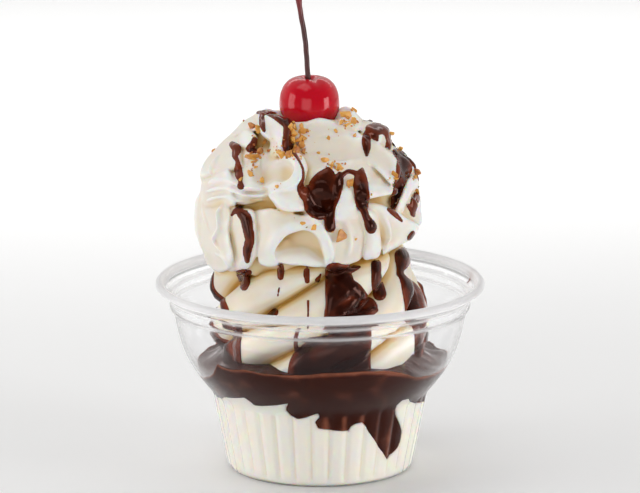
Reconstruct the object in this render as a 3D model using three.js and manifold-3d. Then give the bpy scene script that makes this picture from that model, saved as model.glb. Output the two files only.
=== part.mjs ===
// Hot fudge sundae in a clear plastic cup.
//
// The cup holds a layer of soft ice cream, a band of hot fudge and a piped soft-serve swirl. Whipped cream
// sits on the swirl in three ridged tiers, with fudge drizzle and chopped nuts fused to it, and a cherry
// with its stem rests in the top. Millimetres, +Z up, the front of the sundae towards -Y.
// The origin is the middle of the cup's foot, on the table. Azimuths are degrees about +Z, counted from
// the front (-Y) towards +X.

import * as THREE from 'three';
import { mergeVertices } from 'three/addons/utils/BufferGeometryUtils.js';
import Module from 'manifold-3d';

const wasm = await Module();
wasm.setup();

// ---------------------------------------------------------------- driving dimensions

const GAP = 0.3; // clear space between neighbouring pieces

// cup
const CUP_HEIGHT = 63.3;
const LIP_RADIUS = 54.3;
const LIP_HEIGHT = 62;
const BAND_RADIUS = 49.6;
const BAND_LOW = 54.7;
const BAND_HIGH = 57.9;
const NECK_RADIUS = 35.6;
const NECK_HEIGHT = 26.2;
const BOWL_TOP_RADIUS = 48.2;
const BOWL_TOP = 51.9;
const BOWL_BULGE = 2.3; // how far the bowl's side swells past a straight cone
const FOOT_RADIUS = 29;
const FOOT_CORNER = 2.4;
const WALL = 0.8;
const FLOOR = 1.2;
const FLUTES = 36;
const FLUTE_DEPTH = 0.5;

// soft-serve swirl: a twisted star column
const SWIRL_FOOT = 40.6;
const SWIRL_TOP = 78;
const SWIRL_LOBES = 7;
const SWIRL_TWIST = 3.1; // degrees for each millimetre of height
const SWIRL_CREASE_AZIMUTH = 4; // one crease passes here ...
const SWIRL_CREASE_HEIGHT = 69.3; // ... at this height
const SWIRL_CREASE_DEPTH = 0.15; // share of the radius

// whipped cream
const CREAM_X = -4; // the cream stands a little left of the cup's axis
const RIDGE_DEPTH = 0.17; // valley depth for each millimetre between two ridges

// cherry
const CHERRY_RADIUS = 10;
const CHERRY_X = -3.4;
const CHERRY_HEIGHT = 122; // of its middle
const CHERRY_SQUASH = 0.94;
const DIMPLE_DEPTH = 2.2;
const STEM_RADIUS = 0.85;
const STEM_END_RADIUS = 1.6;
const STEM_TOP = 163;

// the front view that drizzle and nuts are laid out in
const VIEW_DISTANCE = 1500;
const VIEW_ELEVATION = THREE.MathUtils.degToRad(13.1);
const VIEW_HEIGHT = 74.1;

const FUDGE_BODY = 1.1; // how far drizzle stands proud

// ---------------------------------------------------------------- helpers

const rad = THREE.MathUtils.degToRad;

/** Point at an azimuth in degrees, a radius and a height, about a vertical axis at x = cx. */
function polar(azimuth, radius, z, cx = 0) {
  return new THREE.Vector3(cx + radius * Math.sin(rad(azimuth)), -radius * Math.cos(rad(azimuth)), z);
}

/** Straight-line reading of a table of [key, value] rows, clamped at its ends. */
function read(table, key) {
  const next = table.findIndex((row) => row[0] >= key);
  if (next === 0) return table[0][1];
  if (next < 0) return table[table.length - 1][1];
  const [[k0, v0], [k1, v1]] = [table[next - 1], table[next]];
  return THREE.MathUtils.mapLinear(key, k0, k1, v0, v1);
}

/** Repeatable random numbers between 0 and 1. */
function dice(seed) {
  let state = seed;
  return () => {
    state = (state + 0x6d2b79f5) | 0;
    let t = Math.imul(state ^ (state >>> 15), 1 | state);
    t = (t + Math.imul(t ^ (t >>> 7), 61 | t)) ^ t;
    return ((t ^ (t >>> 14)) >>> 0) / 4294967296;
  };
}

/**
 * Closed body over a stack of rings that run anticlockwise and upwards; its ends close on their middle.
 * Each four-sided patch is split along its shorter diagonal.
 */
function skin(rings) {
  const count = rings[0].length;
  const middle = (ring) => ring.reduce((sum, p) => sum.add(p), new THREE.Vector3()).divideScalar(count);
  const points = [middle(rings[0]), ...rings.flat(), middle(rings[rings.length - 1])];
  const last = points.length - 1;
  const at = (ring, j) => 1 + ring * count + (j % count);
  const index = [];
  for (let j = 0; j < count; j += 1) {
    index.push(0, at(0, j + 1), at(0, j));
    for (let k = 0; k + 1 < rings.length; k += 1) {
      const [a, b, c, d] = [at(k, j), at(k, j + 1), at(k + 1, j + 1), at(k + 1, j)];
      const rising = points[a].distanceTo(points[c]) < points[b].distanceTo(points[d]);
      index.push(...(rising ? [a, b, c, a, c, d] : [a, b, d, b, c, d]));
    }
    index.push(last, at(rings.length - 1, j), at(rings.length - 1, j + 1));
  }
  const geometry = new THREE.BufferGeometry().setFromPoints(points);
  geometry.setIndex(index);
  return geometry;
}

/** Ring of points at evenly spaced azimuths. */
function ring(count, pointAt) {
  return Array.from({ length: count }, (_, j) => pointAt((360 * j) / count, j));
}

/** The solid that a closed geometry encloses. */
function solid(geometry) {
  const bare = geometry.clone();
  bare.deleteAttribute('normal');
  bare.deleteAttribute('uv');
  const welded = mergeVertices(bare, 1e-4);
  const mesh = new wasm.Mesh({
    numProp: 3,
    vertProperties: new Float32Array(welded.attributes.position.array),
    triVerts: new Uint32Array(welded.index.array),
  });
  return new wasm.Manifold(mesh);
}

/** The geometry of a solid's main body, without any loose scrap or bubble that cutting left. */
function surface(body) {
  const [main] = body.decompose().sort((a, b) => b.volume() - a.volume());
  const mesh = main.getMesh();
  const geometry = new THREE.BufferGeometry();
  geometry.setAttribute('position', new THREE.BufferAttribute(mesh.vertProperties, 3));
  geometry.setIndex(new THREE.BufferAttribute(mesh.triVerts, 1));
  return geometry;
}

/** Rounded rope along points that lie on a surface; each entry is { at, out, width }. */
function strand(stations, body) {
  const sides = 5;
  const rings = stations.map(({ at, out, width }, k) => {
    const before = stations[Math.max(k - 1, 0)].at;
    const after = stations[Math.min(k + 1, stations.length - 1)].at;
    const along = after.clone().sub(before).normalize();
    const side = new THREE.Vector3().crossVectors(along, out).normalize();
    const up = new THREE.Vector3().crossVectors(side, along);
    return Array.from({ length: sides }, (_, j) => {
      const turn = (2 * Math.PI * j) / sides;
      const sideways = side.clone().multiplyScalar((Math.sin(turn) * width) / 2);
      return at.clone().add(sideways).addScaledVector(up, body * Math.cos(turn));
    });
  });
  return solid(skin(rings));
}

/** Point of the front view turned to an azimuth: the nearest place where its line of sight meets a mesh. */
function seen(mesh, azimuth, across, up) {
  const forward = new THREE.Vector3(0, Math.cos(VIEW_ELEVATION), -Math.sin(VIEW_ELEVATION));
  const upward = new THREE.Vector3(0, Math.sin(VIEW_ELEVATION), Math.cos(VIEW_ELEVATION));
  const target = new THREE.Vector3(0, 0, VIEW_HEIGHT);
  const eye = target.clone().addScaledVector(forward, -VIEW_DISTANCE);
  const through = target.clone().addScaledVector(upward, up - VIEW_HEIGHT);
  through.x += across;
  const turn = new THREE.Quaternion().setFromAxisAngle(new THREE.Vector3(0, 0, 1), rad(azimuth));
  eye.applyQuaternion(turn);
  const direction = through.applyQuaternion(turn).sub(eye).normalize();
  const [hit] = new THREE.Raycaster(eye, direction).intersectObject(mesh);
  return hit && { at: hit.point, out: hit.face.normal.clone() };
}

/** Drizzle on a mesh, or the same grown: a smooth line through [across, up, width] points of a view. */
function drizzle(mesh, azimuth, points, grow = 0, spacing = 4) {
  const line = new THREE.CatmullRomCurve3(points.map(([across, up, width]) => new THREE.Vector3(across, up, width)));
  const steps = Math.max(3, Math.round(line.getLength() / spacing));
  const hits = line
    .getPoints(steps)
    .map((p) => ({ ...seen(mesh, azimuth, p.x, p.y), width: p.z }))
    .filter((hit) => hit.at);
  const level = hits.map((hit, k) => {
    const near = hits.slice(Math.max(k - 1, 0), k + 2);
    const at = near.reduce((sum, h) => sum.add(h.at), new THREE.Vector3()).divideScalar(near.length);
    const out = near.reduce((sum, h) => sum.add(h.out), new THREE.Vector3()).normalize();
    const end = k === 0 || k === hits.length - 1;
    return { at, out, width: (end ? hit.width * 0.5 : hit.width) + 2 * grow };
  });
  return strand(level, FUDGE_BODY + grow);
}

/** Chopped nut of a size, half sunk where a view's line meets a mesh. */
function nut(mesh, azimuth, across, up, size, roll) {
  const { at } = seen(mesh, azimuth, across, up);
  const grain = new THREE.IcosahedronGeometry(size / 2, 0);
  grain.scale(1.2, 0.95, 0.8);
  grain.rotateX(roll() * Math.PI);
  grain.rotateZ(roll() * Math.PI);
  grain.translate(at.x, at.y, at.z);
  return solid(grain);
}

// ---------------------------------------------------------------- cup

/** Outer side of the bowl as [radius, height] points, from the neck up to the band. */
function bowlSide(steps) {
  const low = new THREE.Vector2(NECK_RADIUS + 0.8, NECK_HEIGHT + 0.6);
  const high = new THREE.Vector2(BOWL_TOP_RADIUS, BOWL_TOP);
  const out = new THREE.Vector2(high.y - low.y, low.x - high.x).normalize();
  return Array.from({ length: steps + 1 }, (_, k) => {
    const share = k / steps;
    const point = low.clone().lerp(high, share);
    return point.addScaledVector(out, BOWL_BULGE * Math.sin(Math.PI * share)).toArray();
  });
}

const OUTER_SIDE = [
  [FOOT_RADIUS, 0],
  [FOOT_RADIUS + 1.5, 0.7],
  [FOOT_RADIUS + 2.1, FOOT_CORNER],
  [NECK_RADIUS, NECK_HEIGHT - 1],
  ...bowlSide(3),
  [BAND_RADIUS, BAND_LOW],
  [BAND_RADIUS, BAND_HIGH],
  [LIP_RADIUS - 1.4, LIP_HEIGHT - 1.8],
  [LIP_RADIUS, LIP_HEIGHT],
  [LIP_RADIUS - 1, CUP_HEIGHT],
];

const outerRadius = (z) => read(OUTER_SIDE.slice(1).map(([r, h]) => [h, r]), z);

/** How far the flutes press in at a height: full over the lower wall, none below the foot's corner or above the neck. */
function fluteAt(z, azimuth) {
  const above = THREE.MathUtils.smoothstep(z, 0.5, FOOT_CORNER);
  const below = 1 - THREE.MathUtils.smoothstep(z, NECK_HEIGHT - 1, NECK_HEIGHT + 0.4);
  return FLUTE_DEPTH * above * below * 0.5 * (1 - Math.cos(rad(azimuth) * FLUTES));
}

/** Radius of the inner wall, less a clearance. */
const innerRadius = (z, azimuth, clear = 0) => outerRadius(z) - WALL - clear - fluteAt(z, azimuth);

function makeCup() {
  const outside = OUTER_SIDE.map(([r, z]) => (azimuth) => polar(azimuth, r - fluteAt(z, azimuth), z));
  const heights = [CUP_HEIGHT - 0.7, LIP_HEIGHT - 1.6, BAND_HIGH + 0.6, BAND_LOW + 0.4, BOWL_TOP];
  heights.push(...bowlSide(3).map(([, z]) => z).reverse().slice(1), NECK_HEIGHT - 1, FOOT_CORNER + 0.6);
  const inside = heights.map((z) => (azimuth) => polar(azimuth, innerRadius(z, azimuth), z));
  const floor = (azimuth) => polar(azimuth, FOOT_RADIUS - 1, FLOOR);
  return skin([...outside, ...inside, floor].map((place) => ring(2 * FLUTES, place)));
}

// ---------------------------------------------------------------- ice cream and fudge in the cup

// where the fudge meets the ice cream against the wall, and its upper edge: [azimuth, height]
const FUDGE_LOW = [
  [-180, 27], [-150, 29.5], [-125, 25.5], [-95, 27], [-63, 26.8], [-39, 30.9], [-33, 28.3], [-17, 30.4],
  [-11, 24.8], [-2, 26.6], [3, 21], [16, 20.2], [20, 22.4], [25, 21], [30, 18.2], [44, 8], [52, 15],
  [57, 27.6], [75, 24], [95, 27.5], [118, 22], [135, 25], [160, 29], [180, 27],
];
const FUDGE_HIGH = [
  [-180, 40], [-140, 38], [-110, 36.5], [-90, 35], [-67, 34], [-52, 39.5], [-47, 42.2], [-41, 41.4], [-32, 42.3],
  [-15, 41.9], [0, 42.6], [16, 43], [27, 42.2], [36, 40.1], [46, 37.6], [57, 36.8], [75, 38], [110, 39.5],
  [150, 41], [180, 40],
];
const FUDGE_MIDDLE_LOW = 26;
const FUDGE_SURFACE = SWIRL_FOOT - GAP;

const signed = (azimuth) => (azimuth > 180 ? azimuth - 360 : azimuth);
const fudgeLow = (azimuth) => read(FUDGE_LOW, signed(azimuth));
const fudgeHigh = (azimuth) => read(FUDGE_HIGH, signed(azimuth));

/** Point against the cup's wall. */
const atWall = (azimuth, z) => polar(azimuth, innerRadius(z, azimuth, GAP), z);

/** Ring inside a layer, a share of the way to the wall, between the middle's height and the wall's. */
function layerRing(share, middleHeight, wallHeight) {
  return ring(2 * FLUTES, (azimuth) => {
    const z = THREE.MathUtils.lerp(middleHeight, wallHeight(azimuth), share ** 3);
    return polar(azimuth, share * innerRadius(wallHeight(azimuth), azimuth, GAP), z);
  });
}

function makeIceCreamBase() {
  const count = 2 * FLUTES;
  const top = (azimuth) => fudgeLow(azimuth) - GAP / 2;
  const wall = (height, below) => ring(count, (azimuth) => atWall(azimuth, Math.min(height, top(azimuth) - below)));
  return skin([
    ring(count, (azimuth) => polar(azimuth, FOOT_RADIUS - 2, FLOOR + GAP)),
    wall(FOOT_CORNER + 1, 3),
    wall(NECK_HEIGHT - 1, 1),
    wall(NECK_HEIGHT + 0.6, 0.5),
    ring(count, (azimuth) => atWall(azimuth, top(azimuth))),
    layerRing(0.85, FUDGE_MIDDLE_LOW - GAP / 2, top),
  ]);
}

function makeFudgeLayer() {
  const count = 2 * FLUTES;
  const low = (azimuth) => fudgeLow(azimuth) + GAP / 2;
  const wall = (height, above) => ring(count, (azimuth) => atWall(azimuth, Math.max(height, low(azimuth) + above)));
  return skin([
    layerRing(0.85, FUDGE_MIDDLE_LOW + GAP / 2, low),
    ring(count, (azimuth) => atWall(azimuth, low(azimuth))),
    wall(NECK_HEIGHT - 1, 0.5),
    wall(NECK_HEIGHT + 0.6, 1),
    wall(bowlSide(3)[1][1], 1.5),
    ring(count, (azimuth) => atWall(azimuth, fudgeHigh(azimuth))),
    ring(count, (azimuth) => polar(azimuth, 36.5, FUDGE_SURFACE - 1)),
    ring(count, (azimuth) => polar(azimuth, 33, FUDGE_SURFACE)),
  ]);
}

// ---------------------------------------------------------------- soft-serve swirl

const SWIRL_SIDE = [
  [SWIRL_FOOT, 34.5], [46, 36], [52, 37.2], [58, 37.6], [63, 37.2], [67, 36], [71, 34], [74, 31], [76.5, 27.5],
  [SWIRL_TOP, 22],
];

/** Radius of the twisted star column: round lobes with sharp creases between them. */
function swirlRadius(azimuth, z, grow) {
  const turned = azimuth - SWIRL_CREASE_AZIMUTH - SWIRL_TWIST * (z - SWIRL_CREASE_HEIGHT);
  const phase = Math.abs(Math.sin(rad(turned) * SWIRL_LOBES * 0.5));
  const crease = (1 - phase) ** 1.7;
  const sway = 1 + 0.02 * Math.sin(rad(azimuth * 2 + 40)) + 0.015 * Math.sin(rad(azimuth * 3 - z * 4));
  return read(SWIRL_SIDE, z) * sway * (1 - SWIRL_CREASE_DEPTH * crease) + grow;
}

/** The swirl's column, or the same form grown on every side. */
function swirlColumn(grow = 0) {
  const heights = [SWIRL_FOOT, 46, 52, 58, 63, 67.5, 71.5, 75, SWIRL_TOP];
  const rows = heights.map((z) =>
    ring(6 * SWIRL_LOBES, (even) => {
      const azimuth = even + SWIRL_TWIST * (z - SWIRL_CREASE_HEIGHT) + SWIRL_CREASE_AZIMUTH;
      const lifted = z === SWIRL_TOP ? z + grow : z;
      return polar(azimuth, swirlRadius(azimuth, z, grow), lifted);
    }),
  );
  return skin(rows);
}

// ---------------------------------------------------------------- whipped cream

// each tier is a disc whose rim carries slanting ridges at the listed azimuths; the dent is a hollow towards
// the next tier, given by its azimuth, its width in degrees and its depth
const TIERS = {
  lower: {
    radius: 38.3, middle: 84.5, half: 14, square: 0.38, slant: -0.8, droop: 5, dent: [-22, 24, 8, 1],
    ridges: [-157, -133, -108, -85, -63, -40, -20, 9, 38, 56, 77, 99, 121, 140, 160, 182],
  },
  middle: {
    radius: 37, middle: 103, half: 10, square: 0.45, slant: -1.3, droop: 0, dent: [-26, 22, 8, -1],
    ridges: [-152, -128, -106, -86, -68, -46, -22, -3, 22, 44, 66, 88, 110, 133, 156, 180],
  },
  upper: {
    radius: 24.8, middle: 112.5, half: 9.2, square: 0.7, slant: -1.5, droop: 0, dent: [0, 1, 0, 1],
    ridges: [-146, -110, -76, -44, -12, 26, 62, 100, 140, 178],
  },
};

/** Disc with slanting ridges: sharp crests at the listed azimuths and round valleys between them. */
function tier({ radius, middle, half, square, slant, droop, dent, ridges }, acrossRidge = 3, rows = 8) {
  const count = ridges.length * acrossRidge;
  const [dentAzimuth, dentWidth, dentDepth, dentSide] = dent;
  const rings = Array.from({ length: rows }, (_, k) => {
    const rise = THREE.MathUtils.mapLinear(k, 0, rows - 1, -78, 78);
    const reach = radius * Math.cos(rad(rise)) ** square;
    const z = middle + half * Math.sin(rad(rise));
    return Array.from({ length: count }, (__, j) => {
      const crest = Math.floor(j / acrossRidge);
      const share = (j % acrossRidge) / acrossRidge;
      const here = ridges[crest];
      const next = crest + 1 < ridges.length ? ridges[crest + 1] : ridges[0] + 360;
      const azimuth = here + (next - here) * share + slant * (z - middle);
      const spread = rad(next - here) * radius;
      const valley = RIDGE_DEPTH * spread * Math.sin(Math.PI * share) ** 0.8;
      const hang = droop * Math.min(0, Math.sin(rad(rise))) * -Math.sin(rad(azimuth));
      const towardsDent = Math.max(0, Math.sin(rad(rise)) * dentSide);
      const hollow = dentDepth * towardsDent * Math.exp(-(((azimuth - dentAzimuth) / dentWidth) ** 2));
      const out = reach - valley * Math.cos(rad(rise)) ** 0.5 - hollow;
      return polar(azimuth, out, z + hang, CREAM_X);
    });
  });
  return solid(skin(rings));
}

/** Plain body of cream that the tiers wrap round. */
function creamCore() {
  const profile = [[0, 74], [22, 74], [27, 80], [27, 92], [26, 104], [19, 114], [0, 117]];
  const body = new THREE.LatheGeometry(profile.map(([r, z]) => new THREE.Vector2(r, z)), 24);
  body.rotateX(Math.PI / 2);
  body.translate(CREAM_X, 0, 0);
  return solid(body);
}

// folds of cream that stand out from the tiers: crests as [azimuth, radius, height], with depth and width
const FOLDS = [
  { deep: 9, wide: 4.2, crest: [[-72, 12, 118], [-58, 14, 121.6], [-38, 16, 121], [-25, 20, 117.5], [-21, 26, 113]] },
  { deep: 9, wide: 4.5, crest: [[-22, 26, 113.5], [-19, 30, 110.6], [-9, 33, 109], [-3, 36, 106], [-6, 38.3, 102.3], [-18, 36, 99.4]] },
  { deep: 10, wide: 5, crest: [[2, 29, 111], [20, 32.5, 109.8], [35, 34.3, 108.6], [43, 37.5, 103.4], [50, 39.8, 98.6]] },
  { deep: 10, wide: 6, crest: [[-2, 15, 119.3], [28, 18.5, 119.3], [50, 26, 114.6], [61, 32.5, 109.6], [60, 36, 104.6], [53, 36.5, 101]] },
  { deep: 8, wide: 3.6, crest: [[90, 35.5, 104], [76, 37.5, 100.4], [62, 37.5, 95.5], [53, 37.8, 90.8], [66, 38, 86.4]] },
  { deep: 8, wide: 5, crest: [[-72, 30, 111.6], [-73, 35.5, 105.6], [-67, 37.6, 100.6], [-54, 36.5, 101]] },
  { deep: 8, wide: 4, crest: [[118, 24, 115.5], [104, 31, 110.5], [112, 36, 105], [126, 37.5, 100]] },
  { deep: 8, wide: 4, crest: [[-168, 20, 118], [-176, 28, 113], [-160, 34.5, 107.5], [-150, 37.5, 101]] },
  { deep: 8, wide: 3.6, crest: [[40, 12.5, 119], [50, 14, 121.8], [72, 16, 120.6], [92, 20, 117.4]] },
  { deep: 8, wide: 4, crest: [[150, 13.5, 120.6], [178, 14.5, 121.4], [206, 15, 120.4]] },
];

/** Blade of cream under a crest line, widening inwards and sinking away at its ends. */
function fold({ crest, deep, wide }) {
  const line = new THREE.CatmullRomCurve3(crest.map(([azimuth, radius, z]) => polar(azimuth, radius, z, CREAM_X)));
  const steps = crest.length + 1;
  const section = [[0, 0], [0.3, 0.45], [0.65, 0.8], [1, 1]]; // share of depth, share of half width
  const rings = Array.from({ length: steps + 1 }, (_, k) => {
    const share = k / steps;
    const point = line.getPoint(share);
    const along = line.getTangent(share);
    const root = new THREE.Vector3(CREAM_X, 0, point.z - 6);
    const inward = root.sub(point).normalize();
    const side = new THREE.Vector3().crossVectors(along, inward).normalize();
    const sink = deep * 0.55 * (2 * Math.abs(share - 0.5)) ** 5;
    const place = ([depth, width], sign) =>
      point.clone().addScaledVector(inward, sink + deep * depth).addScaledVector(side, sign * wide * width);
    const left = section.slice(1).map((row) => place(row, -1));
    const right = section.slice(1).reverse().map((row) => place(row, 1));
    return [place(section[0], 1), ...left, ...right];
  });
  return solid(skin(rings));
}

// ---------------------------------------------------------------- drizzle and nuts, laid out in a view

// [across, up, width] along each run of fudge
const CREAM_DRIZZLE = [
  [0, [[11.8, 100, 3.4], [13, 95.5, 5.6], [13.8, 90.5, 5.8], [14.6, 85.5, 2.8], [16, 81.5, 3.6], [16.8, 79.6, 3.4]]],
  [0, [[0.6, 99, 4], [0.6, 94.5, 9], [1.2, 89.5, 11], [2, 85, 8], [3.2, 81.5, 3.6], [3.6, 79.4, 3]]],
  [0, [[-10, 115, 3], [-10.3, 109, 4.4], [-9.6, 105.4, 3], [-6, 101.5, 2.4], [-5.6, 96.5, 2.4], [-5.4, 92.5, 4]]],
  [0, [[-27, 87, 3.4], [-25.4, 83, 3.8], [-23.8, 79.5, 3.6], [-23, 76.5, 3.4], [-24.2, 71.5, 2.8]]],
  [0, [[-28, 107.5, 3.2], [-27.6, 103.8, 2.8], [-27, 100, 2.8], [-26.5, 95.5, 2.2]]],
  [0, [[25.6, 105, 4.4], [27.6, 101, 6.4], [27, 95.5, 5.4], [25.4, 89.5, 3.8], [24.4, 85.8, 2.4]]],
  [90, [[-13, 112, 4], [-12, 104, 5], [-11.4, 96, 5.4], [-10.2, 88, 4]]],
  [180, [[-15, 115, 4], [-17, 108, 6], [-16, 100, 6.4], [-17, 90, 4.6]]],
  [180, [[6, 115, 4], [6, 107, 8], [6, 99, 6], [7, 91, 3.6]]],
  [-90, [[10, 113, 4], [9, 105, 5.4], [11, 97, 5.4], [12, 89, 4.4]]],
];
const SWIRL_DRIZZLE = [
  [0, [[-24.6, 67, 5.2], [-24.9, 63, 4.6], [-25.2, 60.4, 3]]],
  [0, [[5.6, 66, 7.6], [5.6, 62, 8], [4.4, 56, 5.6], [7, 50, 10], [9, 44, 14]]],
  [0, [[18.6, 69, 3.6], [18.8, 64, 4], [19.8, 59.6, 5], [20.2, 57.6, 4.6]]],
  [0, [[27, 64.5, 3], [29.4, 60, 5.4], [31, 54.5, 6.4], [32, 47, 4.4]]],
  [90, [[8, 64, 5], [10, 57, 7], [8, 50, 8]]],
  [180, [[-16, 64, 5], [-17, 57, 6], [-15, 50, 8]]],
  [-90, [[0, 64, 6], [2, 57, 6], [0, 50, 8]]],
];

// [azimuth of the view, across, up, size]
const NUTS = [
  [0, -22, 103.6, 3.6], [0, -8, 111.5, 3.2], [0, -9, 107.6, 3.2], [0, -21.5, 114.5, 3.4],
  [0, 7.2, 77.5, 4.4], [0, 10.2, 95.7, 3.6], [0, 6.5, 117.8, 3.2], [0, 9.2, 115, 3.2],
  [90, -4, 112, 3.4], [90, 20, 100, 3.2], [90, 4, 92, 3.4], [180, 12, 112, 3.2], [180, -6, 98, 3.2],
  [-90, -6, 113, 3.4], [-90, 16, 105, 3.2], [-90, -2, 98, 3.2],
];

function makeCream(keepClear) {
  const tiers = Object.values(TIERS).map((shape) => tier(shape));
  const bare = [creamCore(), ...tiers, ...FOLDS.map(fold)].reduce((sum, piece) => sum.add(piece));
  const sight = new THREE.Mesh(surface(bare), new THREE.MeshStandardMaterial({ side: THREE.DoubleSide }));
  const roll = dice(7);
  const toppings = [
    ...CREAM_DRIZZLE.map(([azimuth, points]) => drizzle(sight, azimuth, points)),
    ...NUTS.map(([azimuth, across, up, size]) => nut(sight, azimuth, across, up, size, roll)),
  ];
  const dressed = toppings.reduce((sum, piece) => sum.add(piece), bare);
  return keepClear.reduce((left, piece) => left.subtract(piece), dressed);
}

/** The swirl with its drizzle, or the same form grown on every side. */
function makeSwirl(grow = 0) {
  const sight = new THREE.Mesh(swirlColumn(), new THREE.MeshStandardMaterial({ side: THREE.DoubleSide }));
  const runs = SWIRL_DRIZZLE.map(([azimuth, points]) => drizzle(sight, azimuth, points, grow));
  return runs.reduce((sum, piece) => sum.add(piece), solid(swirlColumn(grow)));
}

// ---------------------------------------------------------------- cherry and stem

/** Round fruit with a dimple on top, or the same form grown on every side. */
function cherryBody(grow = 0) {
  const profile = Array.from({ length: 11 }, (_, k) => {
    const rise = THREE.MathUtils.mapLinear(k, 0, 10, -90, 90);
    const r = (CHERRY_RADIUS + grow) * Math.cos(rad(rise)) ** 0.92;
    const dimple = DIMPLE_DEPTH * THREE.MathUtils.smoothstep(rise, 40, 90) ** 2;
    const z = (CHERRY_RADIUS + grow) * CHERRY_SQUASH * Math.sin(rad(rise)) - dimple;
    return new THREE.Vector2(k % 10 === 0 ? 0 : r, z);
  });
  const body = new THREE.LatheGeometry(profile, 18);
  body.rotateX(Math.PI / 2);
  body.translate(CHERRY_X, 0, CHERRY_HEIGHT);
  return body;
}

function makeStem() {
  const foot = CHERRY_HEIGHT + CHERRY_RADIUS * CHERRY_SQUASH - DIMPLE_DEPTH + GAP;
  const line = new THREE.CatmullRomCurve3([
    new THREE.Vector3(CHERRY_X - 0.4, 0, foot),
    new THREE.Vector3(CHERRY_X - 1.4, 0, 143),
    new THREE.Vector3(CHERRY_X - 3.1, 0.4, 153),
    new THREE.Vector3(CHERRY_X - 4.4, 0.8, STEM_TOP),
  ]);
  const steps = 8;
  const rings = Array.from({ length: steps + 1 }, (_, k) => {
    const point = line.getPoint(k / steps);
    const flare = (STEM_END_RADIUS - STEM_RADIUS) * THREE.MathUtils.smoothstep(k / steps, 0.72, 0.98);
    return ring(6, (azimuth) => polar(azimuth, STEM_RADIUS + flare, 0).add(point));
  });
  return skin(rings);
}

// ---------------------------------------------------------------- the whole sundae

const group = new THREE.Group();

function add(name, geometry, color, roughness, extra = {}) {
  const material = new THREE.MeshStandardMaterial({ color, roughness, metalness: 0, ...extra });
  const mesh = new THREE.Mesh(geometry, material);
  mesh.name = name;
  group.add(mesh);
}

const swirl = makeSwirl();
const cream = makeCream([makeSwirl(GAP), solid(cherryBody(GAP))]);

add('cup', makeCup(), 0xf4f6f7, 0.05, { transparent: true, opacity: 0.3 });
add('ice_cream_base', makeIceCreamBase(), 0xefe6d8, 0.6);
add('fudge_layer', makeFudgeLayer(), 0x3a1c12, 0.25);
add('soft_serve_swirl', surface(swirl), 0xe8dcc0, 0.55);
add('whipped_cream', surface(cream), 0xf7f3ec, 0.6);
add('cherry', cherryBody(), 0xb80f22, 0.15);
add('cherry_stem', makeStem(), 0x5a1820, 0.4);

export default group;
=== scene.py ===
"""Hot fudge sundae in a clear plastic cup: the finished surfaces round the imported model.

Cream, soft serve and fudge are shaped as fields of signed distance on a grid of points (below zero inside)
and meshed from there, so folds flow into each other and fudge lies on whatever is under it.
Lengths are millimetres until a mesh is made. Azimuths are degrees about +Z from the front (-Y) towards +X.
"""

import math

import bmesh
import bpy
import numpy as np
import openvdb
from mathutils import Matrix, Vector


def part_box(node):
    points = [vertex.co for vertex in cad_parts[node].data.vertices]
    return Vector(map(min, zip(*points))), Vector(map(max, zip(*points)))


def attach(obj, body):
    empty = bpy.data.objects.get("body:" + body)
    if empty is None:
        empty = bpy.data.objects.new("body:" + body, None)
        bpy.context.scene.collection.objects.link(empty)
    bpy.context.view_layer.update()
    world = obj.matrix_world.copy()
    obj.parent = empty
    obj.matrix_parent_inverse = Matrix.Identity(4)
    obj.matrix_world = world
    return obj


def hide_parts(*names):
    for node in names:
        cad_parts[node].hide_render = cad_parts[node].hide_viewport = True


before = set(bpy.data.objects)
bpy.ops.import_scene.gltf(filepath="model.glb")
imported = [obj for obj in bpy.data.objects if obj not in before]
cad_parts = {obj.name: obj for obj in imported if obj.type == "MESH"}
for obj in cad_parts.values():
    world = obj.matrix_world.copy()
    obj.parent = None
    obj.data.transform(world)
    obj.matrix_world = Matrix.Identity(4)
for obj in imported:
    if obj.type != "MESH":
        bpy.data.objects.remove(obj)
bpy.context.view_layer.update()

MM = 0.001
WHITE = (1, 1, 1, 1)
FAR = 6.0  # field value of empty space away from any surface
STEP = 0.38  # grid spacing


def node_box(name):
    """Lowest and highest corner of a node, in millimetres."""
    low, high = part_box(name)
    return np.array(low) / MM, np.array(high) / MM


# ---------------------------------------------------------------- sizes, from the frame where it has them

_, CUP_HIGH = node_box("cup")
CUP_HEIGHT = CUP_HIGH[2]
LIP_RADIUS = CUP_HIGH[0]
LIP_HEIGHT = CUP_HEIGHT - 1.3
BAND_RADIUS = LIP_RADIUS - 4.7
BAND_LOW, BAND_HIGH = 54.7, 57.9
NECK_RADIUS, NECK_HEIGHT = 35.6, 26.2
BOWL_TOP_RADIUS, BOWL_TOP = 48.2, 51.9
BOWL_BULGE = 2.3
FOOT_RADIUS, FOOT_CORNER = 29.0, 2.4
WALL, FLOOR = 0.8, 1.2
FLUTES, FLUTE_DEPTH = 36, 0.5

CREAM_X = -4.0
CHERRY_LOW, CHERRY_HIGH = node_box("cherry")
CHERRY_MIDDLE = (CHERRY_LOW + CHERRY_HIGH) / 2
CHERRY_RADIUS = (CHERRY_HIGH[1] - CHERRY_LOW[1]) / 2
STEM_LOW, STEM_HIGH = node_box("cherry_stem")

# the front view, in which folds, drizzle and nuts are laid out in steps across and down from its corner
VIEW_STEP = 0.33
VIEW_CENTRE = (320.3, 246.5)
VIEW_DISTANCE = 1500.0
VIEW_ELEVATION = math.radians(13.1)
VIEW_HEIGHT = 74.1
VIEW_WIDTH_STEPS = 640
VIEW_CELL = 2.0  # size in steps of a cell in which the nearest surface is looked up
VIEW_CELLS = (321, 251)  # how many cells lie across and down


# ---------------------------------------------------------------- small helpers

def blend_min(a, b, soft):
    """Join of two fields with a cove of about the given size."""
    near = np.maximum(soft - np.abs(a - b), 0.0) / soft
    return np.minimum(a, b) - near * near * soft * 0.25


def blend_max(a, b, soft):
    return -blend_min(-a, -b, soft)


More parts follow.
